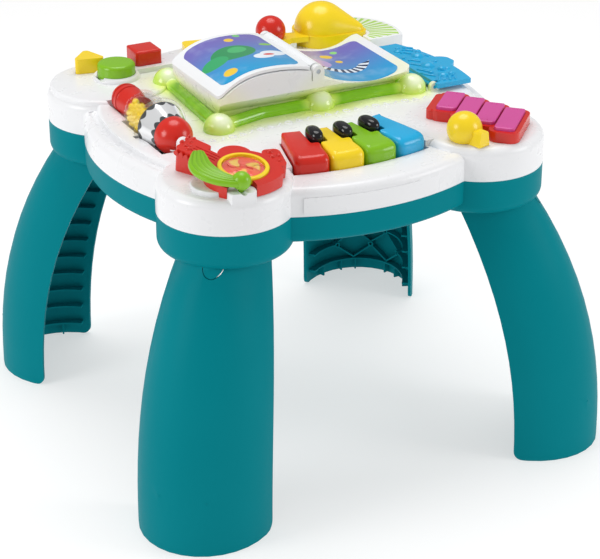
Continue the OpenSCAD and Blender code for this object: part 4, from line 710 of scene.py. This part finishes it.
def key_corners(bite_left, bite_right):
    """Corners of a key's plan, its length along Y, and the radius of each."""
    def side(distance, sign):
        return (sign * distance * math.sin(KEY_HALF), distance * math.cos(KEY_HALF))

    def bitten(sign):
        lean = math.radians(KEY_ANGLE / 2)
        ahead = np.array([sign * math.sin(lean), math.cos(lean)])
        into = np.array([-sign * math.cos(lean), math.sin(lean)])
        deep = into * BITE_HALF
        return [side(BITE_FRONT, sign), ahead * BITE_FRONT + deep, ahead * KEY_BACK + deep]

    right = bitten(1) if bite_right else [side(KEY_BACK, 1)]
    left = bitten(-1) if bite_left else [side(KEY_BACK, -1)]
    right_radii = BITE_RADII if bite_right else [BACK_RADIUS]
    left_radii = BITE_RADII if bite_left else [BACK_RADIUS]
    front = [side(KEY_FRONT, 1), (0.0, KEY_FRONT + 0.4), side(KEY_FRONT, -1)]
    corners = front + left + right[::-1]
    front_radii = [FRONT_RADIUS, NOSE_RADIUS, FRONT_RADIUS]
    return corners, front_radii + left_radii + right_radii[::-1]


def soft_key(number):
    """Rings of one coloured key from its foot to its flat top, in the table's metres."""
    corners, radii = key_corners(number > 0, number < 3)
    flat = filled_out(rounded(corners, radii))
    into = inward(flat)
    body = np.clip((flat[:, 1] - BODY_FROM) / BODY_OVER, 0, 1)
    front = np.clip((flat[:, 1] - FRONT_FROM) / FRONT_OVER, 0, 1)
    edge = TIGHT_EDGE + BODY_EDGE * body * body * (3 - 2 * body) + FRONT_EDGE * front
    free_side = ((number == 0) & (flat[:, 0] < -12)) | ((number == 3) & (flat[:, 0] > 12))
    free_side &= flat[:, 1] > KEY_BACK + 1.5
    edge = np.where(free_side, np.maximum(edge, FREE_EDGE), edge)
    edge = sum(np.roll(edge, shift) for shift in (0, 1, -1, 2, -2)) / 5
    top = KEY_TOP - KEY_DROP * (flat[:, 1] - KEY_BACK) / (KEY_FRONT - KEY_BACK)
    rings = [np.column_stack([flat, np.full(len(flat), KEY_LOW)])]
    for bend in np.linspace(0, math.pi / 2, 9):
        place = flat + into * (edge * (1 - math.cos(bend)))[:, None]
        rings.append(np.column_stack([place, top - edge * (1 - math.sin(bend))]))
    return on_keyboard(np.array(rings) * [1, -1, 1], number - 1.5)


def capped_piece(name, grid, finish, body):
    """One closed piece from rings of points, with a flat face on the first and last."""
    rows, columns = grid.shape[:2]
    faces = quads_of(rows, columns).tolist()
    faces += [list(range(columns))[::-1], list(range((rows - 1) * columns, rows * columns))]
    piece = made_piece(name, grid.reshape(-1, 3).tolist(), faces, finish, body)
    split_edges(piece, KEY_SMOOTH)
    return piece


for number, (color, finish) in enumerate([("red", RED), ("yellow", YELLOW), ("green", GREEN),
                                          ("blue", BLUE)]):
    key = capped_piece("soft_" + color + "_key", soft_key(number), finish, color + "_key")
    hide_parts(color + "_key")
print("the keys are", KEY_FRONT - KEY_BACK, "mm long")

# %% [markdown]
# ## Round black keys
# The black keys are balls squared a little in plan, each on the stem that slides in the
# shell. A sphere's formula with its sines raised to a power gives that shape in one step.

# %% Black keys
BLACK_AT, BLACK_LOW = 226, 340.2
BLACK_HALF, BLACK_LENGTH_HALF, BLACK_HEIGHT_HALF = 7.4, 14, 8.4
STEM_LOW, STEM_HIGH, STEM_RADIUS = 306.3, 342, 3.0


def stem(at, low, high, radius, sides=32):
    """An upright round rod, closed at both ends."""
    turn = np.linspace(0, 2 * np.pi, sides, endpoint=False)[None]
    size = np.array([0, radius, radius, 0])[:, None]
    level = np.array([low, low, high, high])[:, None] + 0 * turn
    return np.stack([at[0] + size * np.cos(turn), at[1] + size * np.sin(turn), level], -1)


def squared(value, power):
    """A sine or cosine pushed towards 1 and -1, which squares the circle it makes."""
    return np.sign(value) * np.abs(value) ** power


def round_key(number):
    """A black key: a ball, squared in plan, on the stem that slides in the shell."""
    down = np.linspace(0, np.pi, 33)[:, None]
    turn = np.linspace(0, 2 * np.pi, 64, endpoint=False)[None]
    size = np.sin(down) ** 0.6
    x = BLACK_HALF * size * squared(np.cos(turn), 0.8)
    y = BLACK_AT + BLACK_LENGTH_HALF * size * squared(np.sin(turn), 0.85)
    z = BLACK_LOW + BLACK_HEIGHT_HALF * (1 + squared(np.cos(down), 0.8)) + 0 * turn
    rod = stem((0, -BLACK_AT), STEM_LOW, STEM_HIGH, STEM_RADIUS)
    return [on_keyboard(grid, number - 1) for grid in (np.stack([x, -y, z], -1), rod)]


for number, place in enumerate(["left", "middle", "right"]):
    key = piece_of("round_black_key_" + place, round_key(number), BLACK, "black_key_" + place)
    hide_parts("black_key_" + place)
print("the black keys are", BLACK_LENGTH_HALF * 2, "mm long")

# %% [markdown]
# ## Fluted lever
# The green lever is a leaf that fans out from its ball, with a rounded rim and five flutes.
# Its surface runs along the leaf in one direction and across it in the other. The height
# over the leaf is a low arch across it, and a cosine of the place across cuts the flutes.


# %% Fluted lever
def on_guitar(points):
    """From the guitar's own frame, in millimetres, to the table's, in metres."""
    lean = math.radians(GUITAR_LEAN)
    x, y, z = points[..., 0], points[..., 1], points[..., 2]
    turned = np.stack([x, y * math.cos(lean) - z * math.sin(lean),
                       y * math.sin(lean) + z * math.cos(lean)], -1)
    return (turned + GUITAR_AT) / 1000


def smooth_curve(knots, count):
    """A Catmull-Rom curve through knots, one row each, with count points."""
    knots = np.asarray(knots, float)
    line = np.vstack([2 * knots[0] - knots[1], knots, 2 * knots[-1] - knots[-2]])
    place = np.linspace(0, len(knots) - 1 - 1e-9, count)
    step = place.astype(int)
    t = (place - step)[:, None]
    a, b, c, d = (line[step + k] for k in range(4))
    return 0.5 * (2 * b + (c - a) * t + (2 * a - 5 * b + 4 * c - d) * t ** 2
                  + (3 * b - a - 3 * c + d) * t ** 3)


LEVER_AT = np.array([-16.0, -29.0])
LEAF_RIM, LEAF_TOP, LEAF_BELLY, LEAF_FADE = 4.5, 8.4, 3.2, 6.0
FLUTES, FLUTE_DEEP, FLUTE_FROM = 5, 0.75, 0.35
# Middle line of the leaf and half its width, from the ball to the tip
LEAF = [(-3, -1, 6.5), (-10, 3, 7.5), (-18, 12, 10.0), (-23.5, 25, 12.0), (-24, 38, 11.3),
        (-20, 50, 8.6), (-17, 58, 6.0), (-15.5, 63, 1.5)]


def leaf_lever(rows=72, columns=61):
    """Rows follow the leaf. Columns go over its top from rim to rim and back below it."""
    line = smooth_curve(LEAF, rows)
    middle, half = line[:, :2], np.maximum(line[:, 2:], 0.05)
    ahead = np.gradient(middle, axis=0)
    ahead /= np.linalg.norm(ahead, axis=1, keepdims=True)
    side = np.stack([-ahead[:, 1], ahead[:, 0]], -1)
    over = np.linspace(0, 2 * np.pi, columns, endpoint=False)[None]
    across = np.cos(over)
    share = np.clip(np.sin(over), -1, 1)
    bulge = np.sign(share) * np.abs(share) ** 0.55
    fade = np.clip(half / LEAF_FADE, 0, 1)
    flute = FLUTE_DEEP * np.cos(across * FLUTES * np.pi) * (share > FLUTE_FROM)
    above = LEAF_RIM + (LEAF_TOP - LEAF_RIM) * bulge * fade + flute * fade
    z = np.where(bulge > 0, above, LEAF_RIM + LEAF_BELLY * bulge * fade)
    flat = middle[:, None] + side[:, None] * (across * half)[..., None]
    local = np.concatenate([flat + LEVER_AT, z[..., None]], -1)
    return on_guitar(local)


def ball(centre, radius, rows=25, columns=48):
    """A sphere by latitude and longitude."""
    down = np.linspace(0, np.pi, rows)[:, None]
    turn = np.linspace(0, 2 * np.pi, columns, endpoint=False)[None]
    unit = np.stack([np.sin(down) * np.cos(turn), np.sin(down) * np.sin(turn),
                     np.cos(down) + 0 * turn], -1)
    return unit * radius + centre


lever_parts = [leaf_lever(), on_guitar(ball(np.array([*LEVER_AT, 5.0]), 9.0)),
               on_guitar(stem(LEVER_AT, -19.0, 4.0, 3.0))]
lever = piece_of("fluted_lever", lever_parts, GREEN, "strum_lever")
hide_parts("strum_lever")
print("the lever has", len(lever.data.polygons), "faces")

# %% [markdown]
# ## Clear dish over the spinning disc
# Inside the yellow ring lies a shallow clear dome, so the disc looks sunk and its rim shows
# bright arcs. The dome is a profile turned round: highest in the middle, curving down to the
# rim, with the thickness of a moulded window.


# %% Clear dish
def turned(profile, sides=72):
    """A profile of radius and height carried round the Z axis."""
    turn = np.linspace(0, 2 * np.pi, sides, endpoint=False)[None]
    radius, level = profile[:, :1], profile[:, 1:]
    return np.stack([radius * np.cos(turn), radius * np.sin(turn), level + 0 * turn], -1)


DISH_RADIUS, DISH_RISE, DISH_WALL = 20.3, 2.0, 0.9
rise = np.linspace(0, 1, 16)
upper = np.column_stack([DISH_RADIUS * rise, DISH_WALL + DISH_RISE * np.cos(rise * np.pi / 2)])
lower = upper[::-1] * [0.985, 1.0] - [0.0, DISH_WALL]
dish = piece_of("clear_dish", [on_guitar(turned(np.vstack([upper, lower])))], CLEAR,
                "table")
print("the dish is", round(max(dish.dimensions) * 1000, 1), "mm across")

# %% [markdown]
# ## Beads in the rattle
# Yellow beads lie in the clear barrel. They stand in rows round its axis, every other row
# turned by half a step.

# %% Beads
RATTLE_AT = np.array([RATTLE_X * 1000, 0.0, RATTLE_Z * 1000])
BEAD_RADIUS, BEAD_AWAY, BEAD_STEP = 3.6, 15.9, 22
beads = []
for row, y in enumerate([-6.0, 1.6, 9.2, 16.8, 24.4]):
    for angle in np.radians(np.arange(125, 330, BEAD_STEP) + BEAD_STEP / 2 * (row % 2)):
        spot = np.array([BEAD_AWAY * math.cos(angle), y, BEAD_AWAY * math.sin(angle)])
        beads.append(ball(RATTLE_AT + spot, BEAD_RADIUS, 13, 20) / 1000)
bead_piece = piece_of("loose_beads", beads, YELLOW, "rattle")
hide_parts("rattle_beads")
print("the barrel holds", len(beads), "beads")

# %% [markdown]
# ## Relief on the blue plate
# The plate that a child presses is covered with bubbles and little waves. The bubbles are
# flattened balls and the waves are ridges, all sunk a little into the plate so that they
# read as one moulding.

# %% Plate relief
PLATE_LEVEL = 346.2
WAVE_RADIUS, WAVE_HEIGHT, BUBBLE_SHARE = 0.0013, 1.1, 0.75
# Bubbles: their place on the plate and their radius. Waves: the points of their curves
BUBBLES = [(185, 55, 3.6), (177.5, 42, 3.8), (175, 15, 4.6), (179.5, -4, 4.8), (181, -21, 4.0),
           (170, 74, 2.6), (188, 40, 2.4), (161, 44, 2.6), (164, -8, 3.0), (186, 20, 2.2)]
WAVES = [
    [(176, 72), (179, 73.5), (182, 71), (186, 67)],
    [(172, 66), (175, 67), (178, 64), (182, 60)],
    [(166, 59), (169, 60), (172, 57), (175, 52)],
    [(161, 34), (164, 35), (168, 31), (172, 26)],
    [(155, 24), (158, 25), (162, 20), (166, 14)],
    [(156, 8), (158, 3), (162, -3), (166, -10)],
    [(153, -4), (155, -10), (159, -16), (163, -20)],
    [(158.5, -34), (162, -28), (166.5, -22), (169, -21), (169.5, -24), (166, -31), (163.5, -35)],
    [(164.5, -36), (168, -30), (172, -23), (175, -21.5), (175.5, -25), (172, -32), (169.5, -37)],
    [(170, -38), (173, -32), (177, -26), (180, -25), (180.5, -28), (178, -34), (176, -38)],
]


def flattened(grid, level, share):
    """Presses a shape towards one level, keeping that share of its height."""
    grid = grid.copy()
    grid[..., 2] = level + (grid[..., 2] - level) * share
    return grid


relief = [flattened(ball(np.array([x, y, PLATE_LEVEL]), radius, 15, 24), PLATE_LEVEL,
                    BUBBLE_SHARE) / 1000 for x, y, radius in BUBBLES]
for knots in WAVES:
    path = smooth_curve(knots, 26) / 1000
    path = np.column_stack([path, np.full(len(path), PLATE_LEVEL / 1000)])
    relief.append(ridge(path, WAVE_RADIUS, WAVE_HEIGHT))
piece_of("plate_relief", relief, BLUE, "press_plate")
print("the plate carries", len(relief), "raised forms")

# %% [markdown]
# ## Studs on the guitar
# Small studs stand on the guitar's head and beside its disc, all in one piece. Each is a ball,
# and nine of the twelve are sunk a little past the middle. Two overlap the head's edge with
# their middles outside it, and the last hangs 2.6 mm clear of the head's end.

# %% Guitar studs
# Each stud's middle in the guitar's own frame, and its radius
STUDS = [(-34, 62, -0.6, 2.6), (-34, 55, -0.6, 2.6), (-34, 48, -0.6, 2.6), (-27, 66, -0.6, 2.2),
         (-27, 59, -0.6, 2.2), (-21, 64, -0.6, 2.2), (36, 17, -0.8, 3.4), (34, 8, -0.8, 3.0),
         (41, 8, -0.8, 2.6), (37, -1, -0.8, 2.6), (-30, 52, -0.6, 1.8), (-23, 70, -0.6, 1.8)]
studs = [on_guitar(ball(np.array(place), radius, 17, 28)) for *place, radius in STUDS]
piece_of("guitar_studs", studs, RED, "table")
print("the guitar has", len(studs), "studs")

# %% [markdown]
# ## Studio
# A pale floor and three soft lamps. The world gives an even fill. Its strength is 1 where the
# camera looks at it, also through clear plastic, which keeps the background white. It is
# less where it lights the toy or shows in a glossy surface, so the colours stay deep.


# %% Floor and lamps
def area_lamp(name, place, target, size, watts):
    """A round soft lamp that points at its target."""
    lamp = bpy.data.objects.new(name, bpy.data.lights.new(name, "AREA"))
    lamp.data.shape = "DISK"
    lamp.data.size = size
    lamp.data.energy = watts
    lamp.location = place
    lamp.rotation_euler = look_at(Vector(place), Vector(target)).to_euler()
    bpy.context.scene.collection.objects.link(lamp)


area_lamp("top_lamp", (0.2, 0.5, 2.4), (0, 0, 0.3), 1.6, 24)
area_lamp("left_lamp", (-2.0, 0.0, 1.1), (0, 0, 0.25), 1.0, 15)
area_lamp("right_lamp", (1.6, -1.4, 1.0), (0, 0, 0.25), 1.0, 13)

FILL_STRENGTH, SHEEN_STRENGTH = 0.52, 0.3
FLOOR_REACH = 12.0
world = bpy.data.worlds.new("studio")
bpy.context.scene.world = world
world.use_nodes = True
sky = world.node_tree
background = sky.nodes["Background"]
path = sky.nodes.new("ShaderNodeLightPath")
seen = sky.nodes.new("ShaderNodeMath")
seen.operation = "MAXIMUM"
sky.links.new(path.outputs["Is Camera Ray"], seen.inputs[0])
sky.links.new(path.outputs["Is Transmission Ray"], seen.inputs[1])
glossy = sky.nodes.new("ShaderNodeMapRange")
glossy.inputs["To Min"].default_value = FILL_STRENGTH
glossy.inputs["To Max"].default_value = SHEEN_STRENGTH
sky.links.new(path.outputs["Is Glossy Ray"], glossy.inputs[0])
level = sky.nodes.new("ShaderNodeMath")
level.operation = "MAXIMUM"
sky.links.new(seen.outputs[0], level.inputs[0])
sky.links.new(glossy.outputs[0], level.inputs[1])
sky.links.new(level.outputs[0], background.inputs["Strength"])
background.inputs["Color"].default_value = (1, 1, 1, 1)

floor_mesh = bpy.data.meshes.new("floor")
floor_corners = [(x * FLOOR_REACH, y * FLOOR_REACH, 0)
                 for x, y in ((-1, -1), (1, -1), (1, 1), (-1, 1))]
floor_mesh.from_pydata(floor_corners, [], [(0, 1, 2, 3)])
floor = bpy.data.objects.new("floor", floor_mesh)
bpy.context.scene.collection.objects.link(floor)
paper = bpy.data.materials.new("white_paper")
paper.use_nodes = True
floor_mesh.materials.append(paper)
sheet = paper.node_tree.nodes["Principled BSDF"].inputs
sheet["Base Color"].default_value = (0.5, 0.5, 0.5, 1)
sheet["Roughness"].default_value = 0.95
sheet["Specular IOR Level"].default_value = 0.0
sheet["Emission Color"].default_value = (1, 1, 1, 1)
sheet["Emission Strength"].default_value = 0.55
print("the studio has", len(bpy.data.lights), "lamps")

scene = bpy.context.scene
scene.view_settings.view_transform = "Standard"
scene.render.film_transparent = False
